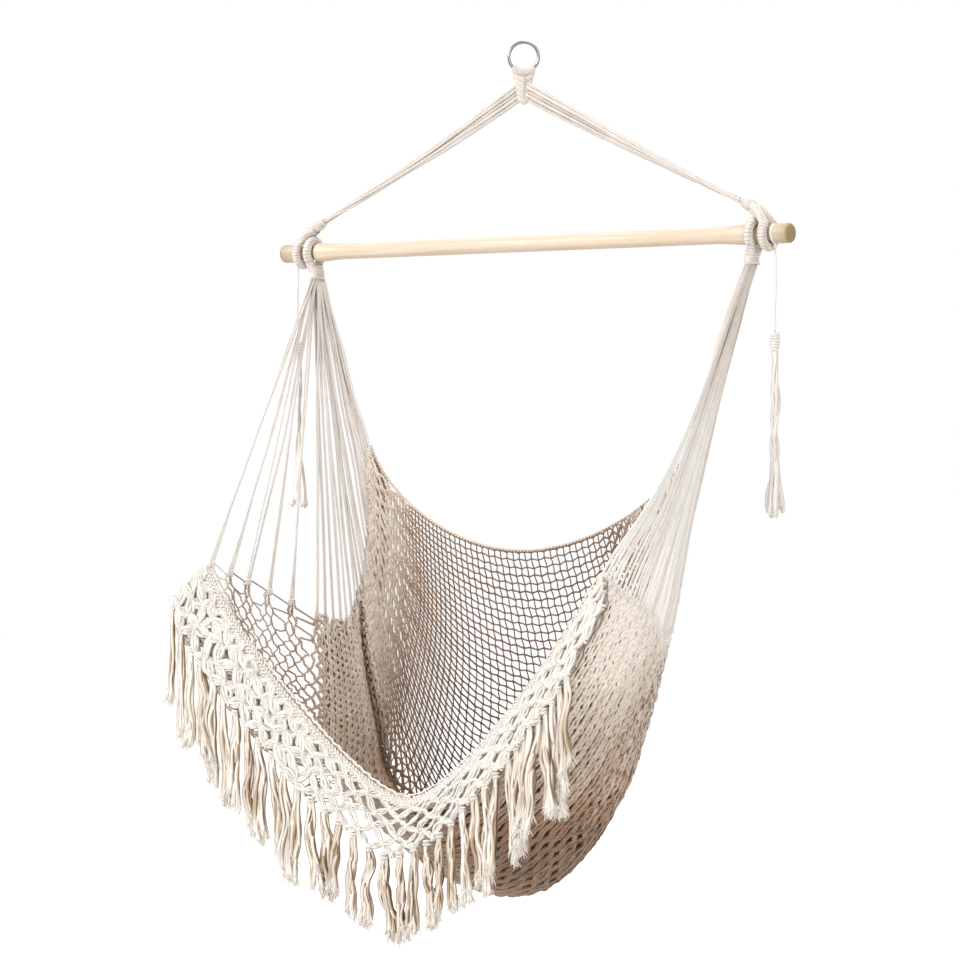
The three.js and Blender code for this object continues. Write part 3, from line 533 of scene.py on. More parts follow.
# Each cord: a straight line from the ring's knot to the eye's knot, less sag 4 s (1 - s) (1 - 0.35 s)
def makeHangerCords(side):
    v = hangerValues
    label = sideName(side)
    knot = np.array(v["knot"]) * (side, 1, 1)
    run = unit(knot - hangFrom)
    lift = np.array([-run[2] * side, 0, run[0] * side])
    s = np.linspace(0, 1, 40)
    paths = []
    for row, z in enumerate(v["rises"]):
        layer = 1 - 2 * (row % 2)
        start = np.array([side * 0.004, 0, z]) + layer * v["apart"] * ringAcross
        end = knot - run * v["knotLength"] * 0.42 + lift * (2 - row) * v["apart"] + (0, layer * 0.0030, 0)
        path = mix(start, end, s[:, None])
        sag = v["sag"] * (0.8 + 0.25 * row + 0.2 * chance.uniform())
        path[:, 2] -= sag * 4 * s * (1 - s) * (1 - 0.35 * s)
        paths.append(path)
    # Towards the knot the cords draw together and turn about their run
    paths = np.array(paths)
    twist = (ease(0.62, 0.98, s) * (s - 0.62) * 5)[:, None]
    centre = paths.mean(0)
    away = paths - centre
    turnedAway = away * np.cos(twist) + np.cross(run, away) * np.sin(twist)
    paths = centre + turnedAway * mix(1.0, 0.62, ease(0.05, 0.6, s))[:, None]
    paths = paths + wander(len(paths), len(s), 1.5) * v["stray"]
    # The tone differs at random from cord to cord; painted shade darkens each cord's flanks, where the cords lie
    # together
    shade = 0.02 + 0.14 * chance.uniform(size=(len(paths), 1))
    bundle = tubes(paths, v["cord"] * (1 - 0.34 * s), 8, up=(0, 1, 0), flat=0.9, tone=shade, creviceShade=0.4)
    cords = makePiece(f"hanger_cords_{label}", [bundle], ropeCotton)
    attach(cords, "hanger")
    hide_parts(*[f"hanger_cord_{label}_{i}" for i in range(1, 5)])


# Served rope: a tube of radius (0.9 + 0.12 |sin(pi length / pitch)|^0.6), with painted shade between the turns
def servedRope(path, radius, pitch):
    swell = np.abs(np.sin(np.pi * farAlong(path) / pitch)) ** 0.6
    shade = 0.05 + 0.75 * (1 - swell) ** 2
    return tubes(path, radius * (0.9 + 0.12 * swell), 22, up=(1, 0, 0), tone=shade)


# Cord wound over a swelling core: turns of a helix on an oval section
def wrapped(origin, axis, aside, length, turns, wide, deep, cord, profile):
    axis, aside = unit(np.asarray(axis, float)), unit(np.asarray(aside, float))
    other = np.cross(axis, aside)
    places = np.linspace(0, 1, len(profile))
    s = np.linspace(0, 1, int(turns * 26))
    a = s * turns * 2 * np.pi
    swell = valueAt(places, profile, s)
    path = np.asarray(origin, float) + (s * length)[:, None] * axis
    path = path + (swell * np.cos(a) * wide)[:, None] * aside + (swell * np.sin(a) * deep)[:, None] * other
    rows = np.linspace(0, 1, 12)
    core = valueAt(places, profile, rows)
    # Painted shade: the core shows darker between the turns
    inner = turned(rows * length, core * wide * 0.98, 20, origin, axis, other, flat=deep / wide, tone=0.55)
    return [tubes(path, cord, 8, up=axis, tone=0.08), inner]


# Teardrop path: radius (sin a, cos a) round the bar's neck, open by spread degrees each way, and drawn
# together along its tail to the knot
def eyePath(eyeX, spread, tail, upward):
    a = np.radians(np.linspace(spread, 360 - spread, 25))
    radius = eyeValues["round"]
    arc = np.stack([np.full(25, eyeX), radius * np.sin(a), radius * np.cos(a)], -1)
    tail = np.array(tail, float)
    points = np.concatenate([tail, arc, tail[::-1] * (1, -1, 1)])
    points[:, 2] = points[:, 2] * upward + barZ
    return pathThrough(points, 260)


# Served rope on the teardrop path, and the knot wound on the line of the hanger's cords
def makeHangerEye(side):
    v, h = eyeValues, hangerValues
    label = sideName(side)
    tail = [(0.4315, 0.0030, 0.0386), (0.4444, 0.0071, 0.0313)]
    path = eyePath(v["hangerX"], 40, tail, 1) * (side, 1, 1)
    knot = np.array(h["knot"]) * (side, 1, 1)
    run = unit(knot - hangFrom)
    bundles = [servedRope(path, v["rope"], v["rib"])]
    bundles += wrapped(knot - run * h["knotLength"] * 0.5, run, (0, 1, 0), h["knotLength"], h["knotTurns"],
                       h["knotWide"], h["knotDeep"], h["knotCord"], [0.55, 0.8, 1.0, 1.02, 0.85, 0.6])
    # Two legs of the rope show as a leaf between the knot and the bar
    for layer in (-1, 1):
        leaf = pathThrough([knot + run * 0.006 + (0, layer * 0.003, 0), knot + run * 0.016 + (0, layer * 0.0062, 0.002),
                            (side * 0.448, layer * 0.0085, barZ + 0.030),
                            (side * 0.456, layer * 0.0135, barZ + 0.016)], 40)
        bundles.append(tubes(leaf, np.linspace(0.0055, 0.0062, 40), 12, up=(1, 0, 0), tone=0.06))
    eye = makePiece(f"hanger_loop_{label}", bundles, ropeCotton)
    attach(eye, "hanger")
    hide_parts(f"hanger_eye_{label}")


# Served rope on the teardrop path upside down, and the throat wound under it
def makeSeatEye(side):
    v = eyeValues
    label = sideName(side)
    tail = [(0.428, 0.00375, 0.0396), (0.4316, 0.00825, 0.0276)]
    path = eyePath(v["seatX"], 42, tail, -1) * (side, 1, 1)
    throat = np.array(v["throat"]) * (side, 1, 1)
    bundles = [servedRope(path, v["rope"], v["rib"] * 1.15)]
    bundles += wrapped(throat, (0, 0, 1), (0, 1, 0), v["throatLength"], v["throatTurns"], v["throatWide"] - 0.001,
                       v["throatDeep"] - 0.001, v["throatCord"], [0.92, 1.0, 0.98, 0.85, 0.68])
    # Crossed stitches over the wrapping
    s = np.linspace(0, 1, 40)
    narrowing = 1 - 0.25 * s
    for lean in (-1, 1):
        a = s * 2 * np.pi * 1.5 * lean + 0.6
        cross = throat + np.stack([np.cos(a) * v["throatDeep"] * 1.16 * narrowing,
                                   np.sin(a) * v["throatWide"] * 1.1 * narrowing, 0.001 + 0.019 * s], -1)
        bundles.append(tubes(cross, v["stitch"], 7))
    eye = makePiece(f"seat_loop_{label}", bundles, ropeCotton)
    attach(eye, "seat")
    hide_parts(f"seat_eye_{label}")


# Turned bar: plain middle, eased shoulders, a neck for the ropes and a rounded knob at each end. One half is
# radius against x, and the other half is its mirror
def makeBar():
    v = barValues
    end, inner, outer = v["halfLength"], v["neckInner"], v["neckOuter"]
    edge, corner, tip = v["shoulderRound"], v["knobCorner"], v["knobRound"]
    middle = np.linspace(0.02, inner - v["shoulderLength"], 30)
    shoulder = np.linspace(inner - v["shoulderLength"], inner - edge, 26)[1:]
    swell = ease(shoulder[0], shoulder[-1], shoulder) * (v["shoulder"] - v["radius"])
    a = np.radians(np.linspace(10, 90, 6))
    bend = np.radians(np.linspace(0, 88, 14))
    fillet, raised = np.array([0, 0.0004, 0.001]), np.array([0.001, 0.0003, 0])
    x = np.concatenate([[0.0], middle, shoulder, inner - edge + edge * np.sin(a), inner + fillet, outer - fillet[::-1],
                        outer + corner - corner * np.cos(a), end - tip + tip * np.sin(bend), [end, end + 0.0001]])
    r = np.concatenate([np.full(31, v["radius"]), v["radius"] + swell, v["shoulder"] - edge + edge * np.cos(a),
                        v["neck"] + raised, v["neck"] + raised[::-1], v["knob"] - corner + corner * np.sin(a),
                        v["knob"] - tip + tip * np.cos(bend), [0.006, 0.0005]])
    # Painted shade: darker at the rounded ends and against the neck
    shade = 0.75 * ease(end - 0.010, end - 0.001, x) + 0.30 * ease(inner - 0.006, inner, x)
    x = np.concatenate([-x[::-1], x[1:]])
    r, shade = (np.concatenate([half[::-1], half[1:]]) for half in (r, shade))
    bar = makePiece("bar", [turned(x, r, 72, (0, 0, barZ), (1, 0, 0), (0, 0, 1), tone=shade)], barPine)
    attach(bar, "bar")
    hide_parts("spreader_bar")


stopValues = {"radius": 0.0140, "cord": 0.00165, "knots": ((-0.3402, 0.0031), (-0.3440, 0.0026)), "turns": 2.4,
              "knotCord": 0.0014, "knotLength": 0.0032}


# Two turns of thin cord round the neck, and two small wound knots under them
def makeStopCord(side):
    v = stopValues
    label = sideName(side)
    x = side * tailValues["x"]
    bundles = []
    a = circle(60)
    for shift in (-0.0004, 0.0012):
        ring = np.stack([x + side * shift + 0.0005 * np.sin(2 * a), v["radius"] * np.sin(a),
                         barZ + v["radius"] * np.cos(a)], -1)
        bundles.append(tubes(ring, v["cord"], 8, up=(1, 0, 0), closed=True, tone=0.1))
    s = np.linspace(0, 1, 40)
    a = 2 * np.pi * v["turns"] * s
    for z, size in v["knots"]:
        fall = z + v["knotLength"] * (0.5 - s)
        knot = np.stack([x + size * 0.62 * np.cos(a), size * 0.62 * np.sin(a), fall], -1)
        bundles.append(tubes(knot, v["knotCord"], 7, tone=0.08))
    stop = makePiece(f"stop_{label}", bundles, cordCotton)
    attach(stop, "bar")
    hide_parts(f"stop_cord_{label}")


makeBar()
for side in (-1, 1):
    makeHangerCords(side)
    makeHangerEye(side)
    makeSeatEye(side)
    makeStopCord(side)
print("ring, hanger and bar made")

# The seat's surface

seatValues = {"leftFold": 0.014, "rightFold": 0.004, "foldAt": 0.62, "foldWide": 0.07, "groove": 0.026,
              "grooveWide": 0.022}
gather = np.array([0.428, 0.0, -0.370])  # where the right fan's cords meet
# The corners and the middle of the rows: how far out, forwards and down each is, against its row, from 0 at the
# back edge to 1 at the front edge
endStations, middleStations, bendStations = [0, 0.25, 0.5, 0.75, 1], [0, 0.25, 0.5, 0.62, 0.8, 1], [0, 0.5, 0.8, 1]
endSpreads = mix(0.630, 0.748, np.array([0, -0.04, 0, 0.72, 1])) / 2
endReaches = -0.335 * np.array([0, 0.015, 0.18, 0.57, 1])
endDrops = np.concatenate([mix(0.652, 0.936, np.array([0, 0.49, 1])), mix(0.936, 0.836, np.array([0.45, 1]))])
middleReaches = 0.065 * np.array([0, 1, 0.54, 0, 0, 0]) - 0.335 * np.array([0.045, 0, 0, 0.15, 0.57, 0.95])
middleDrops = np.concatenate([mix(0.822, 1.370, np.array([0, 0.49, 0.9, 1])), mix(1.370, 1.190, np.array([0.39, 1]))])
cornerPulls, middleFlats = [0.26, 0.46, 0.38, 0.12], 0.315 * np.array([0.43, 0.49, 0.4, 0.32])
endPoints = np.stack([endSpreads, endReaches, -endDrops], -1)
middlePoints = np.stack([0 * middleReaches, middleReaches, -middleDrops], -1)


# Each half row is a cubic from its corner, which it leaves in line with its cord, to the level middle
def smoothSeat(across, row):
    across, row = np.broadcast_arrays(np.asarray(across, float), np.asarray(row, float))
    corner, middle = valueAt(endStations, endPoints, row), valueAt(middleStations, middlePoints, row)
    span = np.linalg.norm(corner - middle, axis=-1, keepdims=True)
    leave = unit(corner - gather) * span * valueAt(bendStations, cornerPulls, row)[..., None]
    level = middle + valueAt(bendStations, middleFlats, row)[..., None] * np.array([1.0, 0, 0])
    t = (1 - np.abs(across))[..., None]
    near = (1 - t) ** 3 * corner + 3 * t * (1 - t) ** 2 * (corner + leave)
    point = near + 3 * t * t * (1 - t) * level + t ** 3 * middle
    point[..., 0] *= np.where(across < 0, -1, 1)
    return point


# across x row, by small steps along both
def seatNormal(across, row):
    h = 1e-3
    a = np.where(across > 1 - h, -h, h)
    b = np.where(row > 1 - h, -h, h)
    here = smoothSeat(across, row)
    alongAcross = (smoothSeat(across + a, row) - here) / a[..., None]
    alongRow = (smoothSeat(across, row + b) - here) / b[..., None]
    return unit(np.cross(alongAcross, alongRow))


# The groove's line: its row falls as it nears the fan
def grooveRow(across):
    return 0.43 + 0.275 * (0.92 - np.abs(across))


# 1 on the left wall near the fan, where the groove is, and 0 from the middle on
def grooveSide(across):
    return ease(-0.42, -0.62, across)


# The seat with its folds, and its normal: a wide one down each side wall, and on the left a narrow deep
# groove along the rows that starts at the fan and dies out towards the middle
def seatPoint(across, row):
    v = seatValues
    across, row = np.broadcast_arrays(np.asarray(across, float), np.asarray(row, float))
    normal = seatNormal(across, row)
    fold = np.exp(-((np.abs(across) - v["foldAt"]) / v["foldWide"]) ** 2) * np.sin(np.pi * row) ** 2
    groove = np.exp(-((row - grooveRow(across)) / v["grooveWide"]) ** 2) * grooveSide(across)
    depth = np.where(across < 0, v["leftFold"], v["rightFold"]) * fold + v["groove"] * groove
    return smoothSeat(across, row) + depth[..., None] * normal, normal


# Turns an even share of a row's half length into the surface's own parameter
def evenAcross(rows, shares):
    fine = np.linspace(0, 1, 161)
    curve = smoothSeat(fine[None], np.asarray(rows, float)[:, None])
    steps = np.linalg.norm(np.diff(curve, axis=1), axis=2)
    far = np.concatenate([np.zeros((len(rows), 1)), np.cumsum(steps, 1)], 1)
    return np.array([np.interp(shares, f / f[-1], fine) for f in far])


# Fan cords

fanValues = {"backCords": 22, "backEnd": 0.62, "rightBack": 34, "rightFront": 20,
             "front": (0.70, 0.78, 0.86, 0.93, 1.0), "width": 0.0024, "flat": 0.62, "throatDepth": 0.0125,
             "stray": (0.0016, 0.002, 0.0), "tie": 0.0026, "tieCord": 0.0017, "tieShifts": (-0.003, 0.0005, 0.004)}
# -1 is the left fan, 1 the right one
fanLooks = {-1: {"tone": 0.10, "vary": 0.30, "power": 1, "throatShade": 0.15, "frontWidth": 1.0, "twin": 0.007},
            1: {"tone": 0.02, "vary": 0.50, "power": 3, "throatShade": 0.50, "frontWidth": 1.25, "twin": 0.0}}
backPlaces = np.linspace(0.005, fanValues["backEnd"], fanValues["backCords"])
leftPlaces = np.concatenate([backPlaces, np.repeat(fanValues["front"], 2)])
rightPlaces = np.concatenate([np.linspace(0.005, fanValues["backEnd"], fanValues["rightBack"]),
                              np.linspace(fanValues["backEnd"], 1.0, fanValues["rightFront"] + 1)[1:]])


# Each cord: a straight line from the throat to its place on the net's side, plus a bow sin(pi s)
def makeFan(side):
    v, looks = fanValues, fanLooks[side]
    label = sideName(side)
    cordPlaces = leftPlaces if side < 0 else rightPlaces
    count = len(cordPlaces)
    number = np.arange(count)
    order = number / (count - 1)
    s = np.linspace(0, 1, 30)
    start = np.stack([gather[0] + (number % 3 - 1) * 0.0046, mix(v["throatDepth"], -v["throatDepth"], order),
                      np.full(count, gather[2] + 0.002)], -1)
    # The left front cords lie in pairs
    twin = np.where(number < v["backCords"], 0.0, (number - v["backCords"]) % 2 - 0.5)
    end, _ = seatPoint(np.full(count, 1.0), cordPlaces)
    end = end + unit(end - gather) * 0.004 + twin[:, None] * np.array([0, looks["twin"], 0])
    paths = mix(start[:, None], end[:, None], s[None, :, None])
    bow = np.stack([0.003 * np.sin(order * 19), 0.004 * np.sin(order * 31 + side), 0 * order], -1)
    paths = paths + np.sin(np.pi * s)[None, :, None] * bow[:, None] + wander(count, len(s), 1.6) * np.array(v["stray"])
    # The right fan is drawn in like a bundle
    if side > 0:
        bound = valueAt([0, 0.25, 0.5, 0.75, 0.92, 1], [0.80, 0.60, 0.54, 0.70, 0.95, 1.0], s)
        paths = paths.mean(0) + (paths - paths.mean(0)) * bound[:, None]
    thicker = np.where(cordPlaces < v["backEnd"] + 0.01, 1.3, looks["frontWidth"])[:, None]
    width = v["width"] * thicker * chance.uniform(0.85, 1.15, (count, 1))
    shade = looks["tone"] + looks["vary"] * chance.uniform(size=(count, 1)) ** looks["power"]
    # Painted shade: darker towards the throat, where the cords bunch together
    shade = shade + looks["throatShade"] * (1 - ease(0.05, 0.6, s))
    bundles = [tubes(paths * (side, 1, 1), width, 8, up=(1, 0.2, 0), flat=v["flat"], tone=shade,
                     turn=chance.uniform(0, 3, (count, 1)) + 1.5 * s)]
    # A small tied end where each cord takes the net
    along = unit(end - start)
    aside = unit(np.cross(along, np.array([0, 1.0, 0.2])))
    for shift in v["tieShifts"]:
        loop = loopsRound(end + along * shift, aside, np.cross(along, aside), v["tie"], v["tie"], 12)
        bundles.append(tubes(loop * (side, 1, 1), v["tieCord"], 6, up=along[:, None] * (side, 1, 1), closed=True,
                             tone=0.12))
    fan = makePiece(f"fan_{label}", bundles, cordCotton)
    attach(fan, "seat")
    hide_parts(*[f"fan_cord_{label}_{i:02d}" for i in range(1, 13)])


for side in (-1, 1):
    makeFan(side)
print("fans made")

# The net

netValues = {"rows": 96, "columns": 80, "thin": 0.00140, "thick": 0.0038, "loose": 0.00135, "link": 0.00125,
             "stray": 0.0016, "ripple": 0.0007, "fill": 0.51, "medium": 0.27, "coreFill": 0.60, "swing": 0.27,
             "pair": 0.17, "slowSwing": 0.95, "slowPair": 0.34, "lift": 0.0030, "jitter": 0.045, "openRows": 42,
             "backShare": 0.79, "rightShare": 0.66, "gather": 0.75, "steps": 4, "middleHalf": 12, "linkFrom": 0.12,
             "linkSkew": 0.07, "linkStray": 0.0004}
# The open mesh reaches so far across and down, as a range over which it closes
openValues = {"across": (0.42, 0.84), "rows": (0.42, 0.58), "leftShift": 0.12, "rightShift": -0.08}
# Painted shadow: dark dashes between the outer rows where the right side turns to the back
shadowDashValues = {"appear": (0.40, 0.48), "end": (0.73, 0.60), "columns": (0.58, 0.66), "heights": (-0.94, -1.02),
              "from": 0.60, "strength": 3.0, "base": 0.5}
# Net tones: low, lowest, open and openLeft are partly painted shade, groove is painted shade, pale is a painted
# highlight, away is painted shade on each layer's side that faces the other layer, and coreLeft and coreRight are the
# tones of the dark core, a painted shade
netTones = {"base": 0.31, "low": 0.52, "lowest": 0.62, "open": 1.22, "openLeft": 0.36, "loose": 0.50, "pale": 0.38,
            "frontRows": 0.9, "groove": 0.7, "row": 0.07, "jitter": 0.05, "link": 0.1, "away": 0.8,
            "coreLeft": 0.36, "coreRight": 0.86}
netPanels = {"back": (0, 32), "middle": (32, 64), "front": (64, 97)}
strayWaves = np.array([[61.0, 97.0, -83.0], [-74.0, 52.0, 88.0], [113.0, -69.0, 57.0]])
rowStations, rowPlaces = [0, 0.44, 1], [0, 0.5, 1]
columnStations, columnShares = [0, 0.36, 1], [0, 0.45, 1]
evenRows, evenShares = np.linspace(0, 1, 41), np.linspace(0, 1, 81)
evenTable = evenAcross(valueAt(rowStations, rowPlaces, evenRows), evenShares)


# 1 at the left front corner, where the rows spread into large meshes, and 0 elsewhere
def looseness(away, even, side):
    share = netValues["backShare"]
    return ease(0.40, 0.85, away) * ease(share - 0.03, share + 0.04, even) * (side < 0)


# Rows bunch towards the back near the left end, so that the front ones spread into large meshes there,
# and each row's end is drawn to the nearest cord of the fan
def rowPlace(number, away, side):
    even = number / netValues["rows"]
    share = np.where(side < 0, netValues["backShare"], netValues["rightShare"])
    back = even / share * fanValues["backEnd"]
    front = mix(fanValues["backEnd"], 1.0, (even - share) / (1 - share))
    atEnd = np.where(even < share, back, front)
    row = mix(valueAt(rowStations, rowPlaces, even), atEnd, ease(0.3, 0.95, away))
    leftEnd, rightEnd = (places[np.abs(row[..., None] - places).argmin(-1)]
                         for places in (np.unique(leftPlaces), rightPlaces))
    nearest = np.where(side < 0, leftEnd, rightEnd)
    reach = np.where((row > fanValues["backEnd"]) & (side < 0), ease(0.86, 1.0, away), ease(0.95, 1.0, away))
    return row + (nearest - row) * netValues["gather"] * reach


# 1 in the open mesh of the back, and 0 in the dense net
def openness(share, even):
    v = openValues
    shift = np.where(share < 0, v["leftShift"], v["rightShift"])
    return (1 - ease(*v["across"], np.abs(share) - shift)) * (1 - ease(*v["rows"], even))


# 1 on the left wall over the groove, and 0 elsewhere
def calmness(column, even):
    return (column < netValues["columns"] / 2) * (1 - ease(0.36, 0.45, even))


# A column's signed even share of the half length
def columnShare(column):
    place = 2 * column / netValues["columns"] - 1
    return valueAt(columnStations, columnShares, np.clip(np.abs(place), 0, 1)) * np.sign(place)


# Reads evenTable at fractions of its rows and columns, straight between its entries
def acrossAt(even, share):
    row = np.clip(even * (len(evenRows) - 1), 0, len(evenRows) - 1.000001)
    column = np.clip(np.abs(share) * (len(evenShares) - 1), 0, len(evenShares) - 1.000001)
    i, j = row.astype(int), column.astype(int)
    p, q = row - i, column - j
    return mix(mix(evenTable[i, j], evenTable[i, j + 1], q), mix(evenTable[i + 1, j], evenTable[i + 1, j + 1], q), p)


# How far a row strays from its own number: swing cos(pi (column + number)), so that it meets its neighbours by
# turns. Where the net is dense, rows lie in pairs that meet the next pair by turns, and on the left wall over
# the groove the pairs swing slowly, which leaves wider and calmer slits
def rowSwing(number, column, across, side, opened, loose, beat, pairBeat):
    v = netValues
    even = number / v["rows"]
    apart = 0.5 - np.round(number) % 2
    patch = 0.5 + 0.25 * np.sin(0.9 * column + 0.31 * number) + 0.25 * np.sin(1.7 * column - 0.53 * number + 2.0)
    slit = np.where(side < 0, 0.80, 0.75) * (1 + 0.45 * np.sin(2.9 * column + 1.7 * number))
    rim = 1.5 * (1 - ease(0.60, 0.70, even))
    slit = slit + (side > 0) * np.maximum(rim, 0.8 * ease(0.50, 0.30, across) * (even > 0.3))
    paired = v["swing"] * slit * mix(0.35, 1.45, patch) * pairBeat + v["pair"] * slit * mix(0.4, 1.6, patch) * apart
    half, full = np.clip(2 * opened, 0, 1), np.clip(2 * opened - 1, 0, 1)
    swing = mix(mix(mix(paired, 0.47 * beat, loose), 0.42 * beat, half), 0.10 * beat, full)
    slowBeat = np.cos(np.pi * (0.36 * column + np.floor(np.round(number) / 2)))
    slow = v["slowSwing"] * slowBeat * mix(0.6, 1.2, patch) + v["slowPair"] * apart
    return mix(swing, slow, calmness(column, even) * (1 - full))


# A point of the net for a row number and a column number, both of which may be fractions, with the normal
# there and how open, how loose and how deep in the groove it is
def netPoint(number, column, wave=True, lift=0.0):
    v = netValues
    number, column = np.broadcast_arrays(np.asarray(number, float), np.asarray(column, float))
    side = np.sign(column - v["columns"] / 2)
    share = columnShare(column)
    even = number / v["rows"]
    across = acrossAt(even, share)
    opened, loose = openness(share, even), looseness(across, even, side)
    beat = np.cos(np.pi * (column + np.round(number)))
    pairBeat = np.cos(np.pi * (np.where(side < 0, 2, 1) * column + np.floor(np.round(number) / 2)))
    swing = rowSwing(number, column, across, side, opened, loose, beat, pairBeat) if wave else 0.0
    over = mix(0.0012 * pairBeat, 0.0004 * beat, opened) if wave else 0.0
    row = np.clip(rowPlace(np.clip(number + swing, 0, v["rows"]), across, side), 0, 1)
    point, normal = seatPoint(across * side, row)
    groove = np.exp(-((row - grooveRow(across) - 0.006) / 0.016) ** 2) * grooveSide(across * side)
    dense = (1 - opened) * (1 - loose)
    waves = np.sin(point @ strayWaves * mix(3.0, 1.0, loose)[..., None] + np.array([0.3, 1.9, 4.1]))
    point = point + mix(v["ripple"] * dense, v["stray"], loose)[..., None] * waves
    return point + normal * (over + (lift - v["lift"]) * dense)[..., None], normal, opened, loose, groove


# Browner low down and inside, partly the cotton's own colour and partly painted shade; cream near the cords and at
# the right front corner, as a painted highlight
def netTone(points, opened, loose):
    t = netTones
    x, y, z = points[..., 0], points[..., 1], points[..., 2]
    low = ease(-0.92, -1.34, z)
    lowest = ease(-1.16, -1.33, z) * ease(-0.04, 0.10, x)
    corner = ease(0.20, 0.34, x) * ease(-0.06, -0.26, y) * ease(-1.10, -0.94, z)
    pale = np.maximum(corner, ease(0.22, 0.33, x) * ease(-1.04, -0.84, z))
    inside = mix(t["open"], t["openLeft"], ease(-0.16, -0.28, x))
    tone = t["base"] + t["low"] * low + t["lowest"] * lowest + inside * opened
    return tone + t["loose"] * loose - t["pale"] * pale


# One layer of rows; dense parts have three: rows inside, dark rows in the middle as painted shade that shows
# through the slits, and rows outside
def netLayer(numbers, column, lift, share, jitterBy):
    v, t, d = netValues, netTones, shadowDashValues
    shape = (len(numbers), len(column))
    wave = lift != 0.0
    number, column = numbers[:, None], column[None]
    even = number / v["rows"]
    points, normal, opened, loose, groove = netPoint(number, column, wave, lift)
    before, after = (netPoint(np.clip(number + by, 0, v["rows"]), column, False)[0] for by in (-0.5, 0.5))
    apart = after - before
    spacing = np.linalg.norm(apart, axis=-1)
    knot = np.isclose(column % 1.0, 0.0)
    radius = np.clip(share * spacing, 0.0008, v["thick"] * share / v["fill"])
    if wave:
        radius = mix(mix(radius, v["loose"], loose), v["medium"] * spacing, np.clip(2 * opened, 0, 1))
        radius = mix(radius, v["thin"], np.clip(2 * opened - 1, 0, 1)) * (1 + mix(0.10, 0.42, opened) * knot)
    radius = radius * (1 + 0.06 * chance.normal(0, 1, (len(numbers), 1))) * mix(1.0, 0.6, ease(0.982, 0.99, even))
    jitter = chance.normal(0, 1, shape)
    points = points + normal * (jitter * 0.0003)[..., None]
    calm = calmness(column, even)
    rough = mix(1.0, 1.8, (column < v["columns"] / 2) * (1 - calm)) * (1 - 0.8 * calm) * (1 - opened)
    points = points + apart * (jitterBy * rough * chance.normal(0, 1, shape))[..., None]
    # Painted shade in the groove; the last rows at the front are paler
    tone = netTone(points, opened, loose) - t["frontRows"] * ease(0.955, 0.985, even) + t["groove"] * groove
    tone = tone + t["row"] * chance.normal(0, 1, (len(numbers), 1)) + t["jitter"] * jitter
    # Painted shadow: dark dashes between the outer rows on the right
    rim = ease(*d["appear"], even) * ease(*d["end"], even) * ease(*d["columns"], column / v["columns"])
    rim = rim * ease(*d["heights"], points[..., 2]) * (lift > 0)
    cells = chance.uniform(size=(len(numbers), v["columns"] + 1)) > d["from"]
    dash = cells[:, np.floor(column[0]).astype(int)] * np.sin(np.pi * (column % 1.0))
    weight = (1 - opened) * (1 - loose) ** 4
    # Painted shade on each layer's side that faces the other layer, where the net is dense, but not at the front rows
    # or the fan ends
    dark = weight * (1 - ease(0.95, 0.985, even)) * (1 - ease(0.94, 1.0, np.abs(2 * column / v["columns"] - 1)))
    return {"points": points, "radius": radius, "normal": normal, "tone": tone, "weight": weight, "dark": dark,
            "creaseShade": rim * (d["strength"] * dash + d["base"])}


# The tubes of one layer's rows between two columns, thinned to nothing where the layer has no weight
def layerTubes(layer, rows, columns, sides, shade, fade=True):
    part = {key: value[rows, columns] for key, value in layer.items()}
    thin = np.maximum(ease(0.62, 0.98, part["weight"]), 0.03) if fade else 1.0
    return tubes(part["points"], part["radius"] * thin, sides, up=part["normal"], tone=part["tone"],
                 shade=shade * part["dark"], creviceShade=part["creaseShade"])


# A layer's left and right parts over the rows given, and its middle part over those low in the seat
def sideTubes(layer, rows, steps, sides, shade):
    v = netValues
    start, stop = ((v["columns"] // 2 + by) * steps for by in (-v["middleHalf"], v["middleHalf"]))
    bundles = [layerTubes(layer, rows, part, sides, shade) for part in (slice(0, start + 1), slice(stop, None))]
    span = range(*rows.indices(v["rows"]))
    low = slice(max(span.start, v["openRows"]), span.stop)
    if low.start < low.stop:
        bundles.append(layerTubes(layer, low, slice(start, stop + 1), sides, shade))
    return bundles


# Links between the rows of the open mesh, askew by turns: their paths, tones and row numbers
def makeLinks():
    v = netValues
    i, j = np.meshgrid(np.arange(1, v["columns"]), np.arange(v["rows"]), indexing="ij")
    keep = openness(columnShare(i), (j + 0.5) / v["rows"]) > v["linkFrom"]
    i, j = i[keep], j[keep]
    skew = v["linkSkew"] * (-1.0) ** j
    low, _, openLow, looseLow, _ = netPoint(j, i + skew)
    high = netPoint(j + 1, i - skew)[0]
    paths = np.stack([low, mix(low, high, 0.5) + chance.normal(0, v["linkStray"], low.shape), high], 1)
    return paths, netTone(low, openLow, looseLow) + netTones["link"] * chance.normal(0, 1, len(i)), j


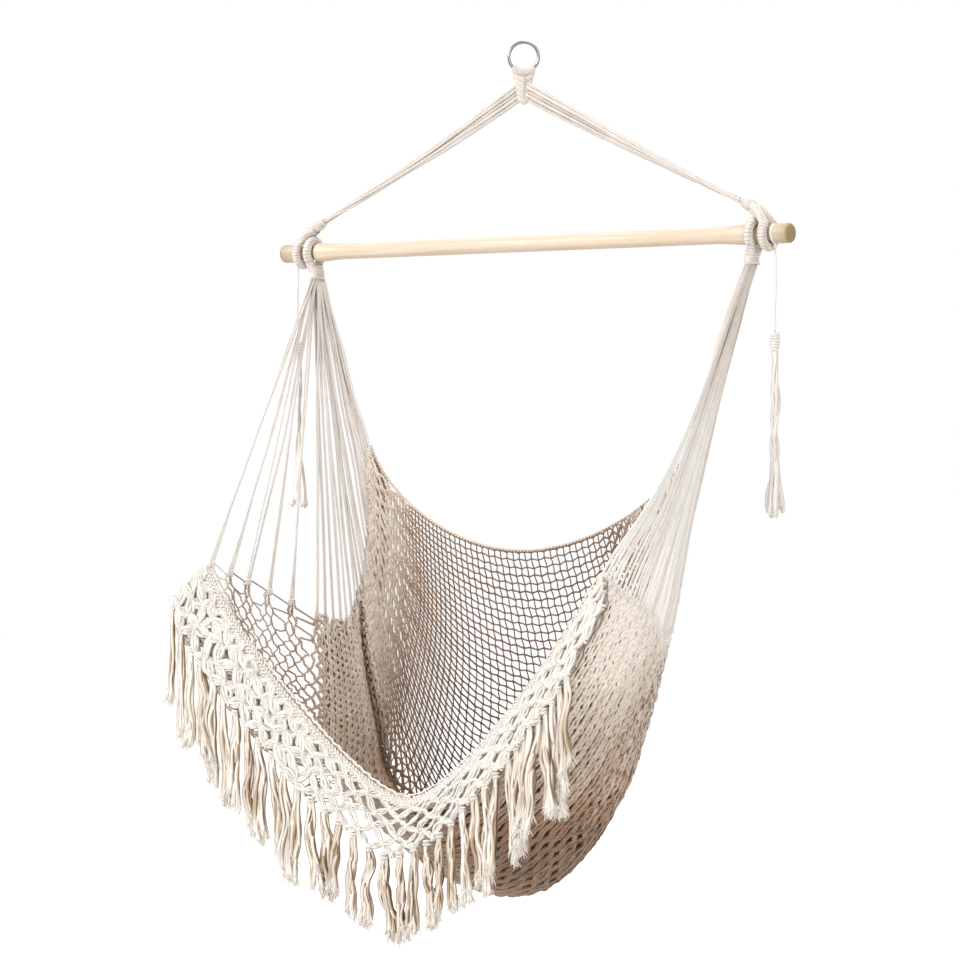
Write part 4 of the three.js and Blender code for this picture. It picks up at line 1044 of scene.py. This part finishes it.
# Rows inside and outside on the seat's surface, a dark core between them as painted shade, and links in the open mesh
def makeNet():
    v, t = netValues, netTones
    steps = v["steps"]
    column = np.arange(v["columns"] * steps + 1) / steps
    numbers = np.arange(v["rows"] + 1)
    inside = netLayer(numbers, column, -v["lift"], v["fill"], v["jitter"])
    outside = netLayer(numbers, column, v["lift"], v["fill"], v["jitter"])
    core = netLayer(numbers[:-1] + 0.5, np.arange(v["columns"] * 2 + 1) / 2, 0.0, v["coreFill"], 0.0)
    core["weight"] = core["dark"]
    core["tone"] = mix(t["coreLeft"], t["coreRight"], ease(-0.1, 0.2, core["points"][..., 0]))
    linkPaths, linkTone, linkRow = makeLinks()
    pieces = []
    for name, (first, last) in netPanels.items():
        rows = slice(first, last)
        bundles = [layerTubes(inside, rows, slice(None), 5, -t["away"], False)]
        own = (linkRow >= first) & (linkRow < last)
        if own.any():
            bundles.append(tubes(linkPaths[own], v["link"], 4, up=(0.31, 1.0, 0.27), tone=linkTone[own][:, None]))
        pieces.append(makePiece(f"net_{name}", bundles, netCotton))
        pieces.append(makePiece(f"net_outer_{name}", sideTubes(outside, rows, steps, 5, t["away"]), netCotton))
    pieces.append(makePiece("net_shade_core", sideTubes(core, slice(None), 2, 4, 0.0), shadeCotton))
    for piece in pieces:
        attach(piece, "seat")
    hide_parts("seat_net")


makeNet()

# Back edge

edgeValues = {"strand": 0.0012, "pitch": 0.013, "plies": 2, "off": 0.0024, "tone": 0.42}


# Plies twisted round each other: centre + radius (cos a, sin a), a turning with the length
def twisted(path, up, strand, pitch, plies, tone):
    tangent = unit(np.gradient(path, axis=0))
    side = unit(np.cross(tangent, up))
    lift = np.cross(side, tangent)
    a = 2 * np.pi * (farAlong(path) / pitch + np.arange(plies)[:, None] / plies)
    off = strand * (np.cos(a)[..., None] * side + np.sin(a)[..., None] * lift)
    return tubes(path + off, strand * 1.02, 7, up=up, tone=tone)


# Follows the seat's row 0, a little outside it
def makeBackEdge():
    v = edgeValues
    across = np.linspace(-1, 1, 520)
    point, normal = seatPoint(across, np.zeros(520))
    inside, _ = seatPoint(across, np.full(520, 0.01))
    tangent = unit(np.gradient(point, axis=0))
    off = point - inside
    off = unit(off - (off * tangent).sum(-1, keepdims=True) * tangent)
    cord = twisted(point + off * v["off"], normal, v["strand"], v["pitch"], v["plies"], v["tone"])
    edge = makePiece("back_edge", [cord], netCotton)
    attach(edge, "seat")
    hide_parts("back_edge_cord")


makeBackEdge()
print("net made")

# Front border

borderValues = {"width": 0.084, "columns": 24, "rows": 3, "strand": 0.00195, "bulge": 0.0036, "start": 0.0043,
                "narrowing": 0.30, "middleWay": (0, -0.35, -0.93), "cornerWay": (0.42, -0.62, -0.66), "droop": 0.006,
                "wave": 0.003, "first": 0.10, "astray": (0.0035, 0.035), "stray": 0.0011, "over": 0.0015,
                "overEach": 0.0012, "behind": 0.0065, "behindShade": 0.50, "toneVary": 0.16, "thicker": 1.65,
                "knotWide": 0.0050, "knotDeep": 0.0030, "knotCord": 0.0019, "knotLean": 0.9}
# Strands of each bundle: how far each bows to one side, and whether it lies behind
borderBundle = ((-1.3, 0), (0, 0), (1.3, 0), (-0.8, 1), (0.8, 1))
headerValues = {"braids": ((-0.012, 0.0030, 0.0), (0.085, 0.0032, 1.3)), "deep": 0.0016, "pitch": 0.021,
                "strand": 0.0018, "loops": 150, "loopCord": 0.0014, "loopLean": 0.0065}


# The way the border leaves the net's front edge: down in the middle, outwards and less steep at the corners
def borderDirection(across):
    v = borderValues
    share = np.abs(across)[..., None] ** 1.5
    mirror = np.stack([np.sign(across), np.ones_like(across), np.ones_like(across)], -1)
    return unit(mix(np.array(v["middleWay"]), mirror * v["cornerWay"], share))


# A point of the border: the net's front edge + direction (start + width outward), lifted by sin(pi outward)
def borderPoint(share, outward):
    v = borderValues
    share, outward = np.broadcast_arrays(np.asarray(share, float), np.asarray(outward, float))
    across = np.interp(np.abs(share), evenShares, evenTable[-1]) * np.sign(share)
    point, _ = seatPoint(across, np.ones_like(across))
    narrow = 1 - v["narrowing"] * ease(0.84, 1.0, share)
    out = point + borderDirection(across) * (v["start"] + v["width"] * outward * narrow)[..., None]
    out[..., 2] += v["droop"] * np.sin(np.pi * np.clip(outward, 0, 1)) + v["wave"] * np.sin(share * 23) * outward
    return out


# The way along the border, unscaled, over a small step each way
def borderAlong(share, outward, h):
    return borderPoint(np.clip(share + h, -1, 1), outward) - borderPoint(np.clip(share - h, -1, 1), outward)


# along x away, by small steps along both
def borderNormal(share, outward):
    h = 1e-3
    away = borderPoint(share, outward + h) - borderPoint(share, outward - h)
    return unit(np.cross(borderAlong(share, outward, h), away))


# The diamonds' edges, as bundles of strands that bow apart by strand sin(pi s)^0.8 and cross at the knots
def borderStrands(edges, slack, astray, halfColumns, halfRows):
    v = borderValues
    s = np.linspace(0, 1, 10)
    start, end = edges[:, :2] / (halfColumns / 2, halfRows), edges[:, 2:] / (halfColumns / 2, halfRows)
    start, end = start + astray[edges[:, 0], edges[:, 1]], end + astray[edges[:, 2], edges[:, 3]]
    chunky = ease(0.12, 0.5, np.abs(start[:, :1] - 1))
    overUnder = np.where(edges[:, :1] % 2 == 0, 1, -1)
    bundles = []
    for strand, behind in borderBundle:
        bow = strand * np.sin(np.pi * s) ** 0.8 * mix(0.62, 1.0, chunky) * v["bulge"] * slack
        share = np.clip(mix(start[:, :1], end[:, :1], s) - 1 + behind / halfColumns, -1, 1)
        outward = mix(v["first"], 1, np.clip(mix(start[:, 1:], end[:, 1:], s) + 0.5 * behind / halfRows, 0, 1))
        path, normal = borderPoint(share, outward), borderNormal(share, outward)
        aside = np.cross(normal, unit(np.gradient(path, axis=1)))
        over = (v["overEach"] * strand + v["over"] * np.sin(np.pi * s)) * overUnder + v["behind"] * behind
        path = path + aside * bow[..., None] + normal * over[..., None]
        path = path + wander(len(edges), len(s), 1.2) * v["stray"]
        # Painted shade: strands behind are darker, and so are every strand's flanks; the rest of the tone differs at
        # random
        tone = v["behindShade"] * behind + v["toneVary"] * chance.uniform(size=(len(edges), 1)) ** 2
        width = v["strand"] * chance.uniform(0.85, 1.2, (len(edges), 1)) * (1 + 0.15 * np.sin(np.pi * s))
        width = width * mix(1.0, v["thicker"], chunky) * (chunky if behind else 1)
        shown = chunky[:, 0] > 0.15 if behind else slice(None)
        bundles.append(tubes(path[shown], width[shown], 6, up=normal[shown], flat=0.72, tone=tone[shown], creviceShade=0.5))
    return bundles


# Knots where the bundles meet: two crossing loops each
def borderKnots(astray, halfColumns, halfRows):
    v = borderValues
    i, j = np.meshgrid(np.arange(halfColumns + 1), np.arange(halfRows + 1), indexing="ij")
    keep = (i + j) % 2 == 0
    i, j = i[keep], j[keep]
    share = np.clip(-1 + 2 * i / halfColumns + astray[i, j, 0], -1, 1)
    outward = mix(v["first"], 1, j / halfRows + astray[i, j, 1])
    normal = borderNormal(share, outward)
    place = borderPoint(share, outward) + normal * 0.0006
    along = unit(borderAlong(share, outward, 0.01))
    other = np.cross(normal, along)
    bundles = []
    for lean in (-v["knotLean"], v["knotLean"]):
        first = along * math.cos(lean) + other * math.sin(lean)
        loops = loopsRound(place, first, normal, v["knotWide"], v["knotDeep"], 10)
        bundles.append(tubes(loops, v["knotCord"], 6, up=np.cross(first, normal)[:, None], closed=True, tone=0.06))
    return bundles


# A lattice of diamonds over the border's surface: strands along its edges, and a knot at each of its points
def makeBorder():
    v = borderValues
    halfColumns, halfRows = v["columns"] * 2, v["rows"] * 2
    # Every edge of the diamonds, as a start and an end on the lattice
    i, j = np.meshgrid(np.arange(halfColumns + 1), np.arange(halfRows), indexing="ij")
    i, j = i.reshape(-1), j.reshape(-1)
    edges = []
    for step in (-1, 1):
        keep = ((i + j) % 2 == 0) & (i + step >= 0) & (i + step <= halfColumns)
        edges.append(np.stack([i, j, i + step, j + 1], -1)[keep])
    edges = np.concatenate(edges)
    slack = chance.uniform(0.8, 1.25, (len(edges), 1))
    # Each lattice point lies a little astray, more so on the left, and none along the net's edge and the outer edge
    astray = chance.normal(0, 1, (halfColumns + 1, halfRows + 1, 2)) * np.array(v["astray"])
    astray = astray * (1 + 0.9 * ease(0.15, 0.6, np.linspace(1, -1, halfColumns + 1)))[:, None, None]
    astray[:, 0] = astray[:, -1] = 0
    bundles = borderStrands(edges, slack, astray, halfColumns, halfRows) + borderKnots(astray, halfColumns, halfRows)
    border = makePiece("border", bundles, borderCotton)
    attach(border, "seat")
    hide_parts("front_border")


# Two flat braids along the front edge: aside = wide sin(p), up = deep sin(2p) for each of three strands
def makeHeader():
    v = headerValues
    share = np.linspace(-1, 1, 620)
    bundles = []
    for outward, wide, phase in v["braids"]:
        outward = np.full(len(share), outward)
        path, normal = borderPoint(share, outward), borderNormal(share, outward)
        aside = np.cross(normal, unit(np.gradient(path, axis=0)))
        p = 2 * np.pi * farAlong(path) / v["pitch"] + np.arange(3)[:, None] * 2 * np.pi / 3 + phase
        strands = path + (wide * np.sin(p))[..., None] * aside
        strands = strands + (v["deep"] * np.sin(2 * p) + 0.001)[..., None] * normal
        # Painted shade on the braids' flanks
        bundles.append(tubes(strands, v["strand"], 6, up=normal, flat=0.85, tone=0.03, creviceShade=0.5))
    # Small loops between the braids
    share = np.linspace(-0.995, 0.995, v["loops"])[:, None]
    s = np.linspace(0, 1, 14)
    for lean in (-1, 1):
        shareAt = share + lean * v["loopLean"] * np.sin(np.pi * (s - 0.5))
        outward = np.broadcast_to(mix(-0.012, 0.105, s), shareAt.shape)
        normal = borderNormal(np.clip(shareAt, -0.999, 0.999), outward)
        over = 0.0012 * (1 + lean * np.sin(np.pi * s))
        path = borderPoint(np.clip(shareAt, -1, 1), outward) + normal * over[None, :, None]
        bundles.append(tubes(path, v["loopCord"], 5, up=normal, tone=0.12))
    header = makePiece("header", bundles, borderCotton)
    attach(header, "seat")


makeBorder()
makeHeader()

# Fringe

fringeValues = {"tassels": 36, "panels": 6, "strands": 8, "width": 0.0040, "length": 0.152, "hairs": 9,
                "crowdFrom": 0.55, "crowd": 0.66, "spacing": 0.0030, "depth": 0.0014, "wave": 0.0034, "lean": 0.10,
                "leanOut": 0.05, "darkStreak": 0.8, "creviceShade": 2.9, "loopCord": 0.0021, "loopDeep": 0.0046,
                "loops": ((0.000, 0.0052), (0.005, 0.0060)), "hair": (0.0011, 0.0009, 0.0003),
                "hairLength": (0.012, 0.024), "hairSpread": 0.24, "hairBend": 0.0018}


# Flat ribbons of yarn that hang from the border's outer edge and are frayed at their ends. Each falls by
# length s, and goes sideways and forwards by its place in the tassel, its lean s and its own wave
def makeFringe(panel):
    v = fringeValues
    strands = v["strands"]
    perPanel = v["tassels"] // v["panels"]
    count = perPanel * strands
    numbers = np.arange(panel * perPanel, (panel + 1) * perPanel)
    share = -1 + 2 * (numbers + 0.5) / v["tassels"]
    share = np.where(share > v["crowdFrom"], v["crowdFrom"] + (share - v["crowdFrom"]) * v["crowd"], share)
    atEdge = np.ones(perPanel)
    hold = borderPoint(share, atEdge)
    s = np.linspace(0, 1, 22)
    order = np.tile(np.arange(strands), perPanel) - (strands - 1) / 2

    def eachStrand(values):  # One value a tassel, repeated for its strands
        return np.repeat(values, strands, 0)

    lean = eachStrand(chance.normal(0, v["lean"], perPanel))
    leanOut = eachStrand(chance.normal(0, v["leanOut"], perPanel))
    length = v["length"] * eachStrand(1 + 0.22 * ease(0.15, 0.6, np.abs(share)))
    length = length * eachStrand(chance.uniform(0.80, 1.0, perPanel)) * chance.uniform(0.80, 1.0, count)
    alongOne = unit(borderAlong(share, atEdge, 0.02)) * (1, 1, 0.3)
    outOne = np.cross(alongOne, (0, 0, 1.0))
    along, outwards = eachStrand(alongOne), eachStrand(outOne)
    reach = valueAt([0, 0.06, 0.3, 0.75, 1], [0.22, 0.34, 0.66, 0.86, 1.35], s)
    reach = reach * eachStrand(chance.uniform(0.6, 1.25, perPanel))[:, None]
    depth = ((np.arange(count) * 7 % 5) - 2)[:, None] * v["depth"] * reach
    wave = (wander(count, len(s), 1.8) + 1.6 * eachStrand(wander(perPanel, len(s), 1.1))) * v["wave"]
    sideways = order[:, None] * v["spacing"] * reach + (lean * length)[:, None] * s ** 1.3 + wave[..., 0]
    forwards = depth + (leanOut * length)[:, None] * s + wave[..., 1]
    paths = eachStrand(hold)[:, None] + sideways[..., None] * along[:, None] + forwards[..., None] * outwards[:, None]
    paths[..., 2] -= length[:, None] * s * 0.985
    # Each tassel has its own tone. Painted shade: its back strands are darker, a few strands carry a dark streak, and
    # each strand's flanks are darker
    shade = eachStrand(chance.uniform(-0.05, 0.20, perPanel) * (1 - 0.5 * ease(0.3, 0.7, np.abs(share))))[:, None]
    shade = shade + 0.20 * (np.abs(depth) / (2 * v["depth"]) * (depth < 0))
    shade = shade + 0.24 * chance.uniform(size=(count, 1)) ** 2
    streak = chance.uniform(size=(count, 1)) ** 4 * ease(0.10, 0.55, s) * ease(1.0, 0.75, s)
    width = v["width"] * chance.uniform(0.8, 1.25, (count, 1)) * (1 + 0.2 * ease(0.7, 1, s))
    width = width * (1 - 0.5 * ease(0.96, 1, s))
    twist = chance.uniform(-0.5, 0.5, (count, 1)) + chance.uniform(-1.2, 1.2, (count, 1)) * s
    creviceShade = v["creviceShade"] - 0.7 * float(ease(0.25, 0.7, np.abs(share).mean()))
    creviceShade = creviceShade * chance.uniform(0.25, 1.0, (count, 1)) * ease(1.0, 0.8, s)
    bundles = [tubes(paths, width, 8, up=outwards[:, None], flat=0.45, tone=shade + v["darkStreak"] * streak,
                     turn=twist, creviceShade=creviceShade)]
    # Hairs that spread from each ribbon's end
    hairs = count * v["hairs"]
    root, end = np.repeat(paths[:, -3], v["hairs"], 0), np.repeat(unit(paths[:, -1] - paths[:, -4]), v["hairs"], 0)
    way = unit(end + chance.normal(0, v["hairSpread"], (hairs, 3)))
    far = chance.uniform(*v["hairLength"], hairs)
    h = np.array([0, 0.5, 1.0])
    hairPaths = root[:, None] + way[:, None] * (far[:, None] * h)[..., None]
    hairPaths += (h ** 2)[None, :, None] * chance.normal(0, v["hairBend"], (hairs, 1, 3))
    hairTubes = tubes(hairPaths, np.array(v["hair"]), 3, up=(0.2, 1, 0.1), tone=0.05)
    hairPiece = makePiece(f"fringe_hairs_{panel + 1}", [hairTubes], hairCotton)
    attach(hairPiece, "seat")
    # Lark's-head loops that hold each tassel
    for drop, wide in v["loops"]:
        loops = loopsRound(hold, alongOne, outOne, wide, v["loopDeep"], 16) - (0, 0, drop)
        bundles.append(tubes(loops, v["loopCord"], 6, closed=True, tone=0.04))
    fringe = makePiece(f"fringe_panel_{panel + 1}", bundles, fringeCotton)
    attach(fringe, "seat")
    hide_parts(f"fringe_{panel + 1}")


for panel in range(fringeValues["panels"]):
    makeFringe(panel)
print("border and fringe made")

# Floor, light, world

studioValues = {"floor": -1.75, "floorColour": (0.86, 0.86, 0.86, 1), "floorGlow": 0.50, "world": 0.60,
                "aim": (0, -0.1, -0.9)}
lampValues = {"key": {"place": (-2.2, -3.6, 1.6), "size": 2.6, "energy": 150.0},
              "fill": {"place": (3.6, -2.6, 0.4), "size": 3.0, "energy": 56.0},
              "top": {"place": (0.4, 0.6, 2.4), "size": 2.4, "energy": 56.0}}


# A pale floor that the camera sees as white
def makeFloor():
    v = studioValues
    z = v["floor"]
    mesh = bpy.data.meshes.new("floor")
    mesh.from_pydata([(-9, -9, z), (9, -9, z), (9, 40, z), (-9, 40, z)], [], [(0, 1, 2, 3)])
    material = newMaterial("pale floor")
    material.node_tree.nodes.clear()
    n = Nodes(material.node_tree)
    diffuse = n.put("BsdfDiffuse", {"Color": v["floorColour"]})
    seen = n.put("LightPath").outputs["Is Camera Ray"]
    glow = n.put("Emission", {"Strength": n.math("MULTIPLY", seen, v["floorGlow"])})
    both = n.put("AddShader", {0: diffuse.outputs[0], 1: glow.outputs[0]})
    n.put("OutputMaterial", {"Surface": both.outputs[0]})
    mesh.materials.append(material)
    linkObject("floor", mesh)


def makeLamps():
    for name, v in lampValues.items():
        data = bpy.data.lights.new(name, "AREA")
        data.shape, data.size, data.energy = "DISK", v["size"], v["energy"]
        lamp = linkObject(name, data)
        lamp.location = v["place"]
        aim = unit(np.array(studioValues["aim"]) - np.array(v["place"]))
        lamp.rotation_euler = (math.acos(-aim[2]), 0, math.atan2(aim[1], aim[0]) - math.pi / 2)


# A white surrounding to the camera and in reflections, and a dimmer one as a light
def makeWorld():
    world = bpy.data.worlds.new("studio")
    bpy.context.scene.world = world
    world.use_nodes = True
    n = Nodes(world.node_tree)
    rays = n.put("LightPath").outputs
    seen = n.math("MAXIMUM", rays["Is Camera Ray"], rays["Is Glossy Ray"])
    seen = n.math("MAXIMUM", seen, rays["Is Transmission Ray"])
    strength = n.put("MapRange", {"Value": seen, "To Min": studioValues["world"], "To Max": 1.0}).outputs[0]
    background = world.node_tree.nodes["Background"]
    n.give(background.inputs["Color"], (1, 1, 1, 1))
    n.give(background.inputs["Strength"], strength)


makeFloor()
makeLamps()
makeWorld()
bpy.context.scene.view_settings.view_transform = "Standard"
print("studio made")
